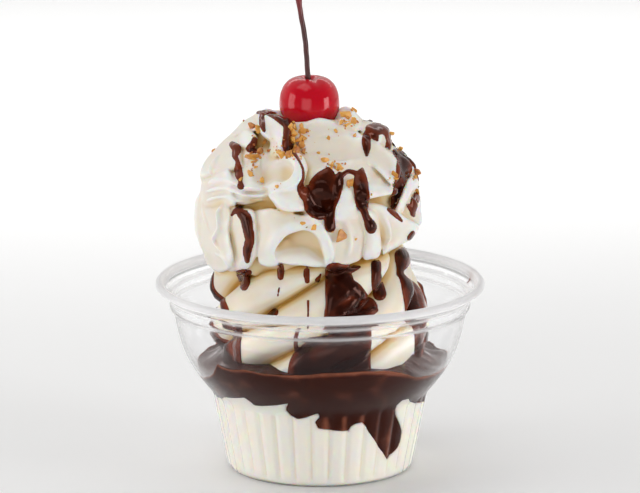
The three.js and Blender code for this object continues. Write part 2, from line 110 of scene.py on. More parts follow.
def smooth_step(value, low, high):
    share = np.clip((value - low) / (high - low), 0.0, 1.0)
    return share * share * (3.0 - 2.0 * share)


def azimuth_of(x, y):
    return np.degrees(np.arctan2(x, -y))


def bend(a, b, c, d, t):
    """Point a share of the way from b to c on a smooth curve through four points."""
    return 0.5 * (
        2 * b + (c - a) * t + (2 * a - 5 * b + 4 * c - d) * t ** 2 + (3 * b - a - 3 * c + d) * t ** 3
    )


def through(points, spacing):
    """Points along a smooth line through the given ones, about one spacing apart."""
    p = np.array(points, float)
    p = np.vstack([2 * p[0] - p[1], p, 2 * p[-1] - p[-2]])
    line = []
    for a, b, c, d in zip(p, p[1:], p[2:], p[3:]):
        count = max(2, int(np.linalg.norm(c - b) / spacing))
        line += [bend(a, b, c, d, t) for t in np.linspace(0, 1, count, endpoint=False)]
    line.append(p[-2])
    return np.array(line)


def closed_line(points, spacing):
    """The same for a closed line, spaced by the first two columns."""
    p = np.array(points, float)
    line = []
    for a, b, c, d in zip(np.roll(p, 1, 0), p, np.roll(p, -1, 0), np.roll(p, -2, 0)):
        count = max(2, int(np.linalg.norm((c - b)[:2]) / spacing))
        line += [bend(a, b, c, d, t) for t in np.linspace(0, 1, count, endpoint=False)]
    return np.array(line)


def to_segment(u, v, start, end):
    """Nearest share along a straight line in a plane, and the distance to it, for each (u, v)."""
    axis = end[:2] - start[:2]
    share = ((u - start[0]) * axis[0] + (v - start[1]) * axis[1]) / max(axis @ axis, 1e-6)
    share = np.clip(share, 0, 1)
    return share, np.hypot(u - start[0] - share * axis[0], v - start[1] - share * axis[1])


def enclosed(u, v, corners):
    """Whether each (u, v) lies inside an outline of (u, v) corners."""
    inside = np.zeros(np.broadcast(u, v).shape, bool)
    for (u0, v0), (u1, v1) in zip(corners, np.roll(corners, -1, 0)):
        if u0 != u1:
            crosses = (u >= min(u0, u1)) & (u < max(u0, u1))
            inside ^= crosses & (v < v0 + (v1 - v0) * (u - u0) / (u1 - u0))
    return inside


def polar(azimuth, radius, z, cx=0.0):
    turn = math.radians(azimuth)
    return np.array([cx + radius * math.sin(turn), -radius * math.cos(turn), z])


def ripple(x, y, z, wave, seed):
    """Slow uneven swell between about -1 and 1."""
    rng = np.random.default_rng(seed)
    total = 0.0
    for _ in range(5):
        axis = rng.normal(size=3)
        axis *= 2 * math.pi / (wave * rng.uniform(0.7, 1.5)) / np.linalg.norm(axis)
        total = total + np.sin(axis[0] * x + axis[1] * y + axis[2] * z + rng.uniform(0, 6.3))
    return total / 3.0


# ---------------------------------------------------------------- the front view

RIGHTWARD = np.array([1.0, 0.0, 0.0])
FORWARD = np.array([0.0, math.cos(VIEW_ELEVATION), -math.sin(VIEW_ELEVATION)])
UPWARD = np.array([0.0, math.sin(VIEW_ELEVATION), math.cos(VIEW_ELEVATION)])
TARGET = np.array([0.0, 0.0, VIEW_HEIGHT])
EYE = TARGET - FORWARD * VIEW_DISTANCE


def turned(x, y, azimuth):
    """Coordinates as a view from another azimuth sees them."""
    c, s = math.cos(math.radians(azimuth)), math.sin(math.radians(azimuth))
    return c * x + s * y, -s * x + c * y


def in_view(x, y, z, azimuth=0.0):
    """Steps across and down, and depth, of points in the view from an azimuth."""
    x, y = turned(x, y, azimuth)
    depth = (y - EYE[1]) * FORWARD[1] + (z - EYE[2]) * FORWARD[2]
    up = (y - EYE[1]) * UPWARD[1] + (z - EYE[2]) * UPWARD[2]
    scale = VIEW_DISTANCE / (depth * VIEW_STEP)
    return VIEW_CENTRE[0] + x * scale, VIEW_CENTRE[1] - up * scale, depth


CREAM_SIDE = np.array([
    (64, 28), (66, 30), (70, 35), (76, 36.6), (85, 36.8), (95, 36.6), (100, 35.8), (104, 33.6), (108, 30.4),
    (111.5, 26.6), (115, 23.2), (118, 18.4), (121.5, 13.6), (124, 8), (126, 1)])  # (height, radius)
SEARCH_START, SEARCH_PASSES = 34.0, 12  # radius at the first pass of the search for the cream's outline


def cream_side(z):
    """Radius of the whipped cream's plain outline at a height."""
    return np.interp(z, *CREAM_SIDE.T)


def on_round(across, down, reach):
    """Nearest point of the front view's line of sight to an upright cylinder about the cream's axis."""
    line = FORWARD * VIEW_DISTANCE + UPWARD * (VIEW_CENTRE[1] - down) * VIEW_STEP
    line[0] += (across - VIEW_CENTRE[0]) * VIEW_STEP
    line /= np.linalg.norm(line)
    ox, oy = EYE[0] - CREAM_X, EYE[1]
    a = line[0] ** 2 + line[1] ** 2
    b = 2 * (ox * line[0] + oy * line[1])
    root = b * b - 4 * a * (ox * ox + oy * oy - reach * reach)
    return EYE + line * ((-b - math.sqrt(max(root, 0.0))) / (2 * a))


def on_cream(across, down, proud):
    """Where a line of sight meets the cream's plain outline, moved out by an amount."""
    reach = SEARCH_START
    for _ in range(SEARCH_PASSES):
        place = on_round(across, down, reach)
        reach = 0.5 * (reach + cream_side(place[2]) + proud)
    return place


# ---------------------------------------------------------------- fields on a grid

class Block:
    """A box of grid points with one field value at each."""

    def __init__(self, low, high, step):
        self.step = step
        self.low = np.array(low, float)
        self.axes = [np.arange(a, b + step, step) for a, b in zip(low, high)]
        self.field = np.full([len(a) for a in self.axes], FAR, np.float32)

    def window(self, points, margin):
        """Slices of the grid round some points, and the open coordinates there."""
        points = np.asarray(points)
        first = np.floor((points.min(0) - margin - self.low) / self.step).astype(int)
        last = np.ceil((points.max(0) + margin - self.low) / self.step).astype(int) + 1
        cut = tuple(
            slice(max(a, 0), max(min(b, len(axis)), 0)) for a, b, axis in zip(first, last, self.axes)
        )
        x, y, z = (axis[part].astype(np.float32) for axis, part in zip(self.axes, cut))
        return cut, x[:, None, None], y[None, :, None], z[None, None, :]

    def everywhere(self):
        x, y, z = (axis.astype(np.float32) for axis in self.axes)
        return x[:, None, None], y[None, :, None], z[None, None, :]

    def sample(self, values, points):
        """Grid values read at loose points."""
        place = (np.asarray(points) - self.low) / self.step
        shape = np.array(values.shape)
        base = np.clip(np.floor(place).astype(int), 0, shape - 2)
        share = np.clip(place - base, 0, 1)
        total = 0.0
        for corner in range(8):
            offset = np.array([corner >> 2 & 1, corner >> 1 & 1, corner & 1])
            weight = np.prod(np.where(offset == 1, share, 1 - share), axis=1)
            i, j, k = (base + offset).T
            total = total + weight * values[i, j, k]
        return total

    def even_out(self):
        """Scales the field so that it changes by about one for each millimetre."""
        gx, gy, gz = np.gradient(self.field, self.step)
        slope = np.sqrt(gx * gx + gy * gy + gz * gz)
        self.field = np.clip(self.field / np.clip(slope, 0.35, 3.0), -FAR, FAR)

    def mesh(self, level=0.0):
        grid = openvdb.FloatGrid(FAR)
        grid.copyFromArray(np.ascontiguousarray(self.field))
        points, quads = grid.convertToQuads(level)
        return points * self.step + self.low, quads


def blurred(values, reach):
    """Two box blurs along each axis."""
    size = max(1, int(reach))
    width = 2 * size + 1
    for axis in (0, 0, 1, 1, 2, 2):
        first, last = values.take([0], axis), values.take([-1], axis)
        padded = [np.repeat(first, size + 1, axis), values, np.repeat(last, size, axis)]
        total = np.cumsum(np.concatenate(padded, axis), axis=axis, dtype=np.float32)
        ahead = total.take(range(width, total.shape[axis]), axis)
        behind = total.take(range(0, total.shape[axis] - width), axis)
        values = (ahead - behind) / width
    return values


# ---------------------------------------------------------------- meshes

def piece(name, points, faces, material, smooth=True):
    """Mesh object from points in millimetres."""
    mesh = bpy.data.meshes.new(name)
    points = np.asarray(points, np.float32) * MM
    if isinstance(faces, np.ndarray):
        sides = faces.shape[1]
        mesh.vertices.add(len(points))
        mesh.vertices.foreach_set("co", points.ravel())
        mesh.loops.add(faces.size)
        mesh.loops.foreach_set("vertex_index", faces.astype(np.int32).ravel())
        mesh.polygons.add(len(faces))
        mesh.polygons.foreach_set("loop_start", np.arange(0, faces.size, sides, dtype=np.int32))
        mesh.update(calc_edges=True)
    else:
        mesh.from_pydata(points.tolist(), [], faces)
    mesh.validate()
    mesh.polygons.foreach_set("use_smooth", [smooth] * len(mesh.polygons))
    mesh.materials.append(material)
    obj = bpy.data.objects.new(name, mesh)
    bpy.context.scene.collection.objects.link(obj)
    return obj


def mark(obj, name, values):
    """Stores a value at each point for the materials to read."""
    layer = obj.data.attributes.new(name, "FLOAT", "POINT")
    layer.data.foreach_set("value", np.asarray(values, np.float32))


def thin_out(obj, triangles):
    """Brings a mesh down to about a number of triangles and returns its points in millimetres."""
    mesh = obj.data
    mesh.calc_loop_triangles()
    count = len(mesh.loop_triangles)
    if count > triangles:
        modifier = obj.modifiers.new("thin out", "DECIMATE")
        modifier.ratio = triangles / count
        graph = bpy.context.evaluated_depsgraph_get()
        obj.data = bpy.data.meshes.new_from_object(obj.evaluated_get(graph))
        obj.modifiers.clear()
        bpy.data.meshes.remove(mesh)
    points = np.empty(len(obj.data.vertices) * 3, np.float32)
    obj.data.vertices.foreach_get("co", points)
    return points.reshape(-1, 3) / MM


def rings_mesh(rings):
    """Points and faces of a closed skin over rings of equal length that run anticlockwise and upwards."""
    count = len(rings[0])
    points = [p for ring in rings for p in ring]
    faces = []
    for k in range(len(rings) - 1):
        for j in range(count):
            a, b = k * count + j, k * count + (j + 1) % count
            faces.append((a, b, b + count, a + count))
    for k, downwards in ((0, True), (len(rings) - 1, False)):
        middle = len(points)
        points.append(np.mean(rings[k], axis=0))
        for j in range(count):
            a, b = k * count + j, k * count + (j + 1) % count
            faces.append((b, a, middle) if downwards else (a, b, middle))
    return points, faces


# ---------------------------------------------------------------- shared finishes as node groups

class Nodes:
    """Short ways to add and join nodes in one tree."""

    def __init__(self, tree):
        self.tree = tree

    def add(self, kind, **settings):
        node = self.tree.nodes.new(kind)
        for name, value in settings.items():
            setattr(node, name, value)
        return node

    def put(self, socket, value):
        if isinstance(value, bpy.types.NodeSocket):
            self.tree.links.new(value, socket)
        else:
            socket.default_value = value

    def math(self, operation, a, b=0.5, c=0.5, clamp=False):
        node = self.add("ShaderNodeMath", operation=operation, use_clamp=clamp)
        for socket, value in zip(node.inputs, (a, b, c)):
            self.put(socket, value)
        return node.outputs[0]

    def mix(self, share, a, b, blend="MIX"):
        node = self.add("ShaderNodeMix", data_type="RGBA", blend_type=blend)
        self.put(node.inputs[0], share)
        self.put(node.inputs[6], a)
        self.put(node.inputs[7], b)
        return node.outputs[2]

    def ramp(self, value, low, high, out_low=0.0, out_high=1.0):
        node = self.add("ShaderNodeMapRange", interpolation_type="SMOOTHSTEP")
        for socket, number in zip(node.inputs, (value, low, high, out_low, out_high)):
            self.put(socket, number)
        return node.outputs[0]

    def noise(self, scale, detail=2.0, rough=0.5):
        place = self.add("ShaderNodeTexCoord").outputs["Object"]
        node = self.add("ShaderNodeTexNoise")
        self.put(node.inputs["Vector"], place)
        self.put(node.inputs["Scale"], scale)
        self.put(node.inputs["Detail"], detail)
        self.put(node.inputs["Roughness"], rough)
        return node.outputs["Fac"]

    def stored(self, name):
        return self.add("ShaderNodeAttribute", attribute_name=name).outputs["Fac"]

    def use(self, group, **values):
        node = self.add("ShaderNodeGroup", node_tree=group)
        for name, value in values.items():
            self.put(node.inputs[name.replace("_", " ")], value)
        return node.outputs


def node_group(name, inputs, outputs, build):
    """Shader node group with named sockets; build gets its nodes and inputs and returns its outputs."""
    tree = bpy.data.node_groups.new(name, "ShaderNodeTree")
    for label, kind, default in inputs:
        socket = tree.interface.new_socket(label, in_out="INPUT", socket_type="NodeSocket" + kind)
        socket.default_value = default
    for label, kind in outputs:
        tree.interface.new_socket(label, in_out="OUTPUT", socket_type="NodeSocket" + kind)
    nodes = Nodes(tree)
    entry = nodes.add("NodeGroupInput")
    leave = nodes.add("NodeGroupOutput")
    for label, value in build(nodes, entry.outputs).items():
        nodes.put(leave.inputs[label], value)
    return tree


def make_uneven_tone():
    """A second colour in clouds and fine specks over a first one."""

    def build(nodes, given):
        broad = nodes.noise(given["Scale"], 3.0)
        fine = nodes.noise(nodes.math("MULTIPLY", given["Scale"], 7.0), 2.0)
        both = nodes.math("ADD", nodes.math("MULTIPLY", broad, 0.7), nodes.math("MULTIPLY", fine, 0.3))
        mask = nodes.ramp(both, 0.35, 0.65)
        share = nodes.math("MULTIPLY", mask, given["Amount"])
        return {"Color": nodes.mix(share, given["Base"], given["Other"])}

    return node_group(
        "uneven tone",
        [
            ("Scale", "Float", 60.0), ("Amount", "Float", 0.5),
            ("Base", "Color", WHITE), ("Other", "Color", WHITE),
        ],
        [("Color", "Color")],
        build,
    )


def make_painted_fold_shade():
    """Painted light and shade on dairy: lighter on crests, going yellowish and dark in its folds where shade
    falls.
    """

    def build(nodes, given):
        fold = nodes.ramp(given["Hollow"], given["Start"], given["End"])
        deep = nodes.ramp(given["Hollow"], given["End"], nodes.math("ADD", given["End"], 0.14))
        # painted highlight: where little dairy surrounds a point, as on crests, the colour goes lighter
        crest = nodes.ramp(given["Hollow"], 0.34, nodes.math("SUBTRACT", given["Start"], 0.04))
        pale = nodes.mix(crest, given["CrestHighlight"], given["Pale"])
        fold_shade_colour = nodes.mix(fold, pale, given["FoldShade"])
        return {"Color": nodes.mix(deep, fold_shade_colour, given["DeepShade"])}

    return node_group(
        "painted fold shade",
        [
            ("Hollow", "Float", 0.5), ("Start", "Float", 0.5), ("End", "Float", 0.7),
            ("CrestHighlight", "Color", WHITE), ("Pale", "Color", WHITE),
            ("FoldShade", "Color", WHITE), ("DeepShade", "Color", WHITE),
        ],
        [("Color", "Color")],
        build,
    )


def make_soft_bumps():
    """Fine unevenness of a surface and of its gloss."""

    def build(nodes, given):
        height = nodes.noise(given["Scale"], 3.0, 0.6)
        bump = nodes.add("ShaderNodeBump")
        for label in ("Strength", "Distance"):
            nodes.put(bump.inputs[label], given[label])
        nodes.put(bump.inputs["Height"], height)
        uneven = nodes.math("MULTIPLY", nodes.math("SUBTRACT", height, 0.5), 0.2)
        return {"Normal": bump.outputs["Normal"], "Roughness": nodes.math("ADD", given["Roughness"], uneven)}

    return node_group(
        "soft bumps",
        [
            ("Scale", "Float", 400.0), ("Strength", "Float", 0.3),
            ("Distance", "Float", 0.0002), ("Roughness", "Float", 0.5),
        ],
        [("Normal", "Vector"), ("Roughness", "Float")],
        build,
    )


UNEVEN_TONE = make_uneven_tone()
PAINTED_FOLD_SHADE = make_painted_fold_shade()
SOFT_BUMPS = make_soft_bumps()


def new_material(name):
    material = bpy.data.materials.new(name)
    material.use_nodes = True
    nodes = Nodes(material.node_tree)
    surface = material.node_tree.nodes["Principled BSDF"]
    return material, nodes, surface


def settle(surface, **values):
    """Sets plain values of a surface; a name has _ where its socket has a space."""
    for name, value in values.items():
        surface.inputs[name.replace("_", " ")].default_value = value


def give_skin(nodes, surface, colour, scale, strength, distance, roughness):
    """Gives a surface its colour, soft bumps and uneven gloss."""
    nodes.put(surface.inputs["Base Color"], colour)
    bumps = nodes.use(SOFT_BUMPS, Scale=scale, Strength=strength, Distance=distance, Roughness=roughness)
    for label in ("Normal", "Roughness"):
        nodes.put(surface.inputs[label], bumps[label])


def dairy(name, crest, pale, fold_shade_colour, deep, start, end, depth, roughness):
    """Cream or ice cream: soft light inside it, with painted light on its crests and painted yellowish shade
    in its folds.
    """
    material, nodes, surface = new_material(name)
    colours = dict(CrestHighlight=crest, Pale=pale, FoldShade=fold_shade_colour, DeepShade=deep)
    # painted light and shade: the colour follows how much dairy surrounds each point, lighter on crests,
    # darker in folds
    tone = nodes.use(PAINTED_FOLD_SHADE, Hollow=nodes.stored("hollow"), Start=start, End=end, **colours)["Color"]
    cloud = nodes.use(UNEVEN_TONE, Scale=90.0, Amount=0.35, Base=tone, Other=nodes.mix(0.12, tone, fold_shade_colour))
    give_skin(nodes, surface, cloud["Color"], 900.0, 0.18, 0.00012, roughness)
    settle(surface, Subsurface_Weight=1.0, Subsurface_Radius=(1.0, 0.62, 0.32), Subsurface_Scale=depth * MM)
    settle(surface, Specular_IOR_Level=0.35)
    return material


def sauce(name, dark, thin):
    """Hot fudge: near black where it is thick, red brown where it thins out."""
    material, nodes, surface = new_material(name)
    patches = nodes.math("MULTIPLY", nodes.math("SUBTRACT", nodes.noise(130.0), 0.5), 1.6)
    share = nodes.ramp(nodes.math("ADD", nodes.stored("thick"), patches), 0.2, 0.95)
    body = nodes.mix(share, thin, dark)
    tone = nodes.use(UNEVEN_TONE, Scale=110.0, Amount=0.45, Base=body, Other=dark)
    give_skin(nodes, surface, tone["Color"], 170.0, 0.12, 0.0004, 0.14)
    for label, amount in (("Specular IOR Level", 0.28), ("Coat Weight", 0.10)):
        nodes.put(surface.inputs[label], nodes.math("MULTIPLY", nodes.stored("wet"), amount))
    settle(surface, Specular_Tint=(1.0, 0.42, 0.30, 1), Coat_Roughness=0.05)
    return material


def mixed(nodes, share, first, second):
    """Shader that goes from the first to the second with a share."""
    node = nodes.add("ShaderNodeMixShader")
    for socket, value in zip(node.inputs, (share, first, second)):
        nodes.put(socket, value)
    return node.outputs[0]


def clear_plastic():
    """Clear cup: bends and mirrors light, and lets lamps shine through to what it holds. A painted
    reflection, a whitish layer, lies on the lip, along the band's edges and where the side is seen edge-on.
    """
    material, nodes, surface = new_material("clear_plastic")
    glassy, greyer = (0.995, 0.995, 1.0, 1), (0.98, 0.985, 0.99, 1)
    tone = nodes.use(UNEVEN_TONE, Scale=30.0, Amount=0.5, Base=glassy, Other=greyer)
    nodes.put(surface.inputs["Base Color"], tone["Color"])
    bumps = nodes.use(SOFT_BUMPS, Scale=60.0, Strength=0.05, Distance=0.0003)
    nodes.put(surface.inputs["Normal"], bumps["Normal"])
    settle(surface, Roughness=0.03, IOR=1.45, Specular_Tint=(0.3, 0.3, 0.32, 1), Transmission_Weight=1.0)
    reflection_stand_ins = [nodes.add("ShaderNodeBsdf" + kind) for kind in ("Diffuse", "Translucent")]
    for shader in reflection_stand_ins:
        shader.inputs["Color"].default_value = (0.95, 0.95, 0.96, 1)
    reflection_stand_in = mixed(nodes, 0.5, *(shader.outputs["BSDF"] for shader in reflection_stand_ins))
    # painted reflection: the plastic turns whitish where its side is seen edge-on and on the lip and band
    # edges
    edge = nodes.ramp(nodes.add("ShaderNodeLayerWeight").outputs["Facing"], 0.6, 1.0, 0.0, 0.4)
    painted_reflection_share = nodes.math("ADD", edge, nodes.stored("painted_reflection_share"), clamp=True)
    glass_with_painted_reflection = mixed(nodes, painted_reflection_share, surface.outputs["BSDF"], reflection_stand_in)
    clear = nodes.add("ShaderNodeBsdfTransparent")
    clear.inputs["Color"].default_value = (0.98, 0.98, 0.985, 1)
    lamp_ray = nodes.add("ShaderNodeLightPath").outputs["Is Shadow Ray"]
    out = material.node_tree.nodes["Material Output"]
    nodes.put(out.inputs["Surface"], mixed(nodes, lamp_ray, glass_with_painted_reflection, clear.outputs["BSDF"]))
    return material


def nut_toast():
    material, nodes, surface = new_material("toasted_nut")
    toast = nodes.ramp(nodes.stored("toast"), 0.0, 0.75)
    body = nodes.mix(toast, (0.84, 0.42, 0.08, 1), (0.38, 0.075, 0.010, 1))
    tone = nodes.use(UNEVEN_TONE, Scale=700.0, Amount=0.5, Base=body, Other=(0.88, 0.50, 0.12, 1))
    give_skin(nodes, surface, tone["Color"], 1600.0, 0.35, 0.0002, 0.38)
    settle(surface, Subsurface_Weight=0.25, Subsurface_Radius=(1.0, 0.5, 0.2), Subsurface_Scale=0.6 * MM)
    return material


def candied_cherry():
    material, nodes, surface = new_material("candied_cherry")
    # painted shade: the cherry's colour is darker towards the bottom
    low = nodes.mix(nodes.stored("low"), (0.58, 0.002, 0.016, 1), (0.34, 0.001, 0.010, 1))
    tone = nodes.use(UNEVEN_TONE, Scale=120.0, Amount=0.4, Base=low, Other=(0.62, 0.004, 0.02, 1))
    give_skin(nodes, surface, tone["Color"], 130.0, 0.25, 0.0006, 0.16)
    settle(surface, Subsurface_Weight=0.35, Subsurface_Radius=(1.0, 0.12, 0.08), Subsurface_Scale=2.0 * MM)
    settle(surface, Specular_Tint=(1.0, 0.2, 0.22, 1), Specular_IOR_Level=0.3)
    settle(surface, Coat_Weight=0.5, Coat_Roughness=0.08, Coat_Tint=(1.0, 0.9, 0.9, 1))
    return material


def stem_skin():
    material, nodes, surface = new_material("cherry_stem_skin")
    body = nodes.mix(nodes.stored("rise"), (0.055, 0.006, 0.006, 1), (0.28, 0.012, 0.018, 1))
    tone = nodes.use(UNEVEN_TONE, Scale=260.0, Amount=0.5, Base=body, Other=(0.10, 0.010, 0.008, 1))
    give_skin(nodes, surface, tone["Color"], 900.0, 0.4, 0.0002, 0.32)
    settle(surface, Subsurface_Weight=0.2, Subsurface_Radius=(1.0, 0.15, 0.1), Subsurface_Scale=1.0 * MM)
    return material


# in each, the crest colour is painted light on crests and the last two colours are painted shade in folds
WHIPPED = dairy(
    "whipped_cream", crest=(0.95, 0.925, 0.89, 1), pale=(0.86, 0.80, 0.71, 1), fold_shade_colour=(0.80, 0.66, 0.44, 1),
    deep=(0.64, 0.43, 0.16, 1), start=0.51, end=0.65, depth=0.4, roughness=0.42,
)
SOFT_SERVE = dairy(
    "soft_serve", crest=(0.94, 0.895, 0.82, 1), pale=(0.87, 0.79, 0.65, 1), fold_shade_colour=(0.78, 0.61, 0.34, 1),
    deep=(0.58, 0.34, 0.08, 1), start=0.48, end=0.61, depth=0.7, roughness=0.40,
)
VANILLA = dairy(
    "vanilla_ice_cream", crest=(0.93, 0.89, 0.82, 1), pale=(0.93, 0.89, 0.82, 1), fold_shade_colour=(0.86, 0.78, 0.64, 1),
    deep=(0.8, 0.7, 0.5, 1), start=0.7, end=0.9, depth=0.6, roughness=0.45,
)
FUDGE = sauce("hot_fudge", dark=(0.022, 0.0035, 0.0016, 1), thin=(0.20, 0.032, 0.010, 1))
FUDGE_POOL = sauce("hot_fudge_layer", dark=(0.044, 0.0075, 0.003, 1), thin=(0.27, 0.085, 0.045, 1))
PLASTIC = clear_plastic()
NUT = nut_toast()
CHERRY = candied_cherry()
STEM = stem_skin()


# ---------------------------------------------------------------- cup

COLUMNS_A_FLUTE = 12
LIP_PAINTED_REFLECTION, EDGE_PAINTED_REFLECTION = 0.78, 0.4  # painted reflection: how whitish the lip and the band's two edges are made, in place of the reflected pale surroundings


def bowl_side(steps):
    """Bulging side of the bowl as (radius, height)."""
    low = np.array([NECK_RADIUS + 0.8, NECK_HEIGHT + 0.6])
    high = np.array([BOWL_TOP_RADIUS, BOWL_TOP])
    out = np.array([high[1] - low[1], low[0] - high[0]])
    out /= np.linalg.norm(out)
    shares = np.linspace(0, 1, steps)
    return [tuple(low + (high - low) * s + out * BOWL_BULGE * math.sin(math.pi * s)) for s in shares]


def outer_profile():
    """Outer side of the cup as (radius, height), from the foot to the crown of the lip."""
    foot, corner = FOOT_RADIUS, FOOT_RADIUS + 2.1
    wide, rise = NECK_RADIUS - FOOT_RADIUS - 2.1, NECK_HEIGHT - 1 - FOOT_CORNER
    band, lip, top = BAND_RADIUS, LIP_RADIUS, LIP_HEIGHT
    return [
        (foot, 0.0), (foot + 0.9, 0.25), (foot + 1.5, 0.8), (corner, FOOT_CORNER),
        *[(corner + wide * s, FOOT_CORNER + rise * s) for s in np.linspace(0.08, 1, 12)],
        *bowl_side(16),
        (band - 0.5, BAND_LOW - 0.9), (band + 0.15, BAND_LOW - 0.2), (band + 0.2, BAND_LOW + 0.3),
        (band, BAND_LOW + 1.0), (band, BAND_HIGH - 1.0),
        (band + 0.25, BAND_HIGH - 0.35), (band + 0.5, BAND_HIGH + 0.1),
        (lip - 2.6, top - 2.6), (lip - 1.4, top - 1.6), (lip - 0.7, top - 1.15), (lip - 0.15, top - 0.85),
        (lip, top - 0.35), (lip - 0.05, top + 0.25), (lip - 0.35, top + 0.8),
        (lip - 0.9, CUP_HEIGHT - 0.1), (lip - 1.3, CUP_HEIGHT),
    ]


OUTER = np.array(outer_profile())


def outer_radius(z):
    """Radius of the cup's outer side at a height above the rounded edge of its foot."""
    return np.interp(z, OUTER[2:, 1], OUTER[2:, 0])


def flute(z, azimuth):
    """How far the flutes press in."""
    above_foot = smooth_step(z, 0.5, FOOT_CORNER + 1)
    below_neck = 1 - smooth_step(z, NECK_HEIGHT - 1.6, NECK_HEIGHT + 0.4)
    wave = 0.5 * (1 - np.cos(np.radians(azimuth) * FLUTES))
    return FLUTE_DEPTH * (above_foot * below_neck) * wave ** 3


def wall_radius(z, azimuth, inset):
    return outer_radius(z) - inset - flute(z, azimuth)


def make_cup():
    columns = FLUTES * COLUMNS_A_FLUTE
    azimuths = np.arange(columns) * 360.0 / columns
    rings = []

    def ring(radius, z):
        turn = np.radians(azimuths)
        rings.append(np.stack([radius * np.sin(turn), -radius * np.cos(turn), np.full(columns, z)], 1))

    for radius, z in OUTER:
        ring(radius - flute(z, azimuths), z)
    ring(LIP_RADIUS - 1.9, CUP_HEIGHT - 0.12)
    ring(LIP_RADIUS - 2.3, CUP_HEIGHT - 0.55)
    for radius, z in OUTER[::-1]:
        if FLOOR + 1.4 < z < LIP_HEIGHT - 1.7:
            ring(radius - WALL - flute(z, azimuths), z + 0.25)
    ring(FOOT_RADIUS + 0.3, FLOOR + 0.5)
    ring(FOOT_RADIUS - 1.2, FLOOR)
    points, faces = rings_mesh(rings)
    cup = piece("cup_body", points, faces, PLASTIC)
    height = np.array(points)[:, 2]
    lip = smooth_step(height, LIP_HEIGHT - 2.0, LIP_HEIGHT - 0.8)
    edges = sum(np.exp(-((height - edge) / 0.5) ** 2) for edge in (BAND_LOW, BAND_HIGH))
    # painted reflection: whitish on the lip and along the band's two edges
    mark(cup, "painted_reflection_share", LIP_PAINTED_REFLECTION * lip + EDGE_PAINTED_REFLECTION * edges)
    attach(cup, "root")
    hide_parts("cup")


# ---------------------------------------------------------------- ice cream and fudge in the cup

# outline of the fudge against the wall as (azimuth, height): its lower edge from left to right ...
FUDGE_LOW = [
    (-180, 27), (-165, 24), (-150, 29.5), (-137, 27), (-125, 21.5), (-112, 26.5), (-95, 27), (-80, 25.6),
    (-63, 26.8), (-57, 28.4), (-47, 29.6), (-39, 30.9), (-36.5, 29.6), (-35, 28.2), (-30, 28.6),
    (-22, 29.6), (-15, 30.9), (-16.5, 29.6), (-17.5, 27.8), (-15.5, 25.6), (-12, 24.5), (-8, 25.1),
    (-1, 27.1), (-0.2, 25.6), (-2.6, 23.6), (-1, 21.4), (5, 20.8), (11, 20.3), (16, 20.1), (17.2, 21.6),
    (19, 22.4), (23, 22.8), (26, 21.2), (28, 18.9), (33, 15.2), (38, 11.6), (41, 9.6), (44, 7.4), (46.5, 9),
    (52, 11.1), (53.6, 13.6), (53, 16.6), (49, 20.2), (46, 23), (43.6, 27.1), (45.4, 29.0), (50, 28.9),
    (54, 27.2), (62, 25.2), (75, 23.6), (89, 21.9), (96, 26), (108, 27.5), (118, 22), (127, 20.8),
    (135, 25), (150, 29), (166, 25.5), (180, 27),
]
# ... and its upper edge
FUDGE_HIGH = [
    (-180, 37), (-140, 36), (-110, 35), (-90, 34.2), (-67, 33.6), (-58, 36.2), (-52, 38.6), (-48.4, 41.4),
    (-47, 42.3), (-45, 41.5), (-41, 41.3), (-32, 42.2), (-25, 42), (-15, 41.8), (0, 42.6), (16, 43.1),
    (27, 42.3), (36, 40.3), (46, 37.9), (57, 36.6), (68, 36.6), (90, 36.8), (110, 36.2), (150, 37),
    (180, 37),
]
FUDGE_MIDDLE_LOW = 26.0
FUDGE_MIDDLE, FUDGE_OUTSIDE = 20.0, 30.0  # radii between which the lower face turns to its edge at the wall
POOL_LEVEL, POOL_SLOPE = 0.72, 0.28  # shares of the wall's radius: the pool's top is level, then slopes
POOL_SAG = 1.4  # how far the slope sags
LENGTH_OF_DEGREE = math.radians(1) * 38.0  # along the wall
SWIRL_FOOT = 40.6
CONTENTS_TOP = 45.5
BASE_TRIANGLES, POOL_TRIANGLES = 80000, 100000
BASE_FOLD_SHADE, FLUTE_FOLD_SHADE = 0.35, 0.47  # painted shade level of the ice cream at the wall, and the painted shade a flute adds to it
SOLID_FUDGE = 1.6  # this far below its upper edge the fudge at the wall looks thickest
INTO_WALL = 0.35  # the cup's contents end this far inside the wall's outer side


def edge_distance(azimuth, height, outline):
    """Distance to a line of (azimuth, height) points, as lengths along the wall."""
    line = np.array(outline, float) * (LENGTH_OF_DEGREE, 1.0)
    least = np.full(np.broadcast(azimuth, height).shape, 1e3)
    for start, end in zip(line, line[1:]):
        least = np.minimum(least, to_segment(azimuth * LENGTH_OF_DEGREE, height, start, end)[1])
    return least


def wall_map():
    """Signed distance to the fudge's lower edge by (azimuth, height), above zero in the ice cream."""
    azimuth = np.arange(-180, 180.01, 0.5)[:, None]
    height = np.arange(0, 50, 0.25)[None, :]
    gap = edge_distance(azimuth, height, FUDGE_LOW)
    inside = enclosed(azimuth, height, np.array([(-180, -5), *FUDGE_LOW, (180, -5)], float))
    inside[-1] = inside[0]
    return azimuth[:, 0], height[0], np.where(inside, gap, -gap)


def read_map(table, azimuth, height):
    """Values of a table by (azimuth, height), even between its points."""
    azimuths, heights, values = table
    i = np.clip((azimuth - azimuths[0]) / (azimuths[1] - azimuths[0]), 0, len(azimuths) - 1.001)
    j = np.clip((height - heights[0]) / (heights[1] - heights[0]), 0, len(heights) - 1.001)
    i0, j0 = i.astype(int), j.astype(int)
    u, v = i - i0, j - j0
    return (
        values[i0, j0] * (1 - u) * (1 - v) + values[i0 + 1, j0] * u * (1 - v)
        + values[i0, j0 + 1] * (1 - u) * v + values[i0 + 1, j0 + 1] * u * v
    )


def fudge_rim(azimuth):
    """Height of the fudge's upper edge at the wall."""
    return np.interp(azimuth, *np.array(FUDGE_HIGH, float).T)


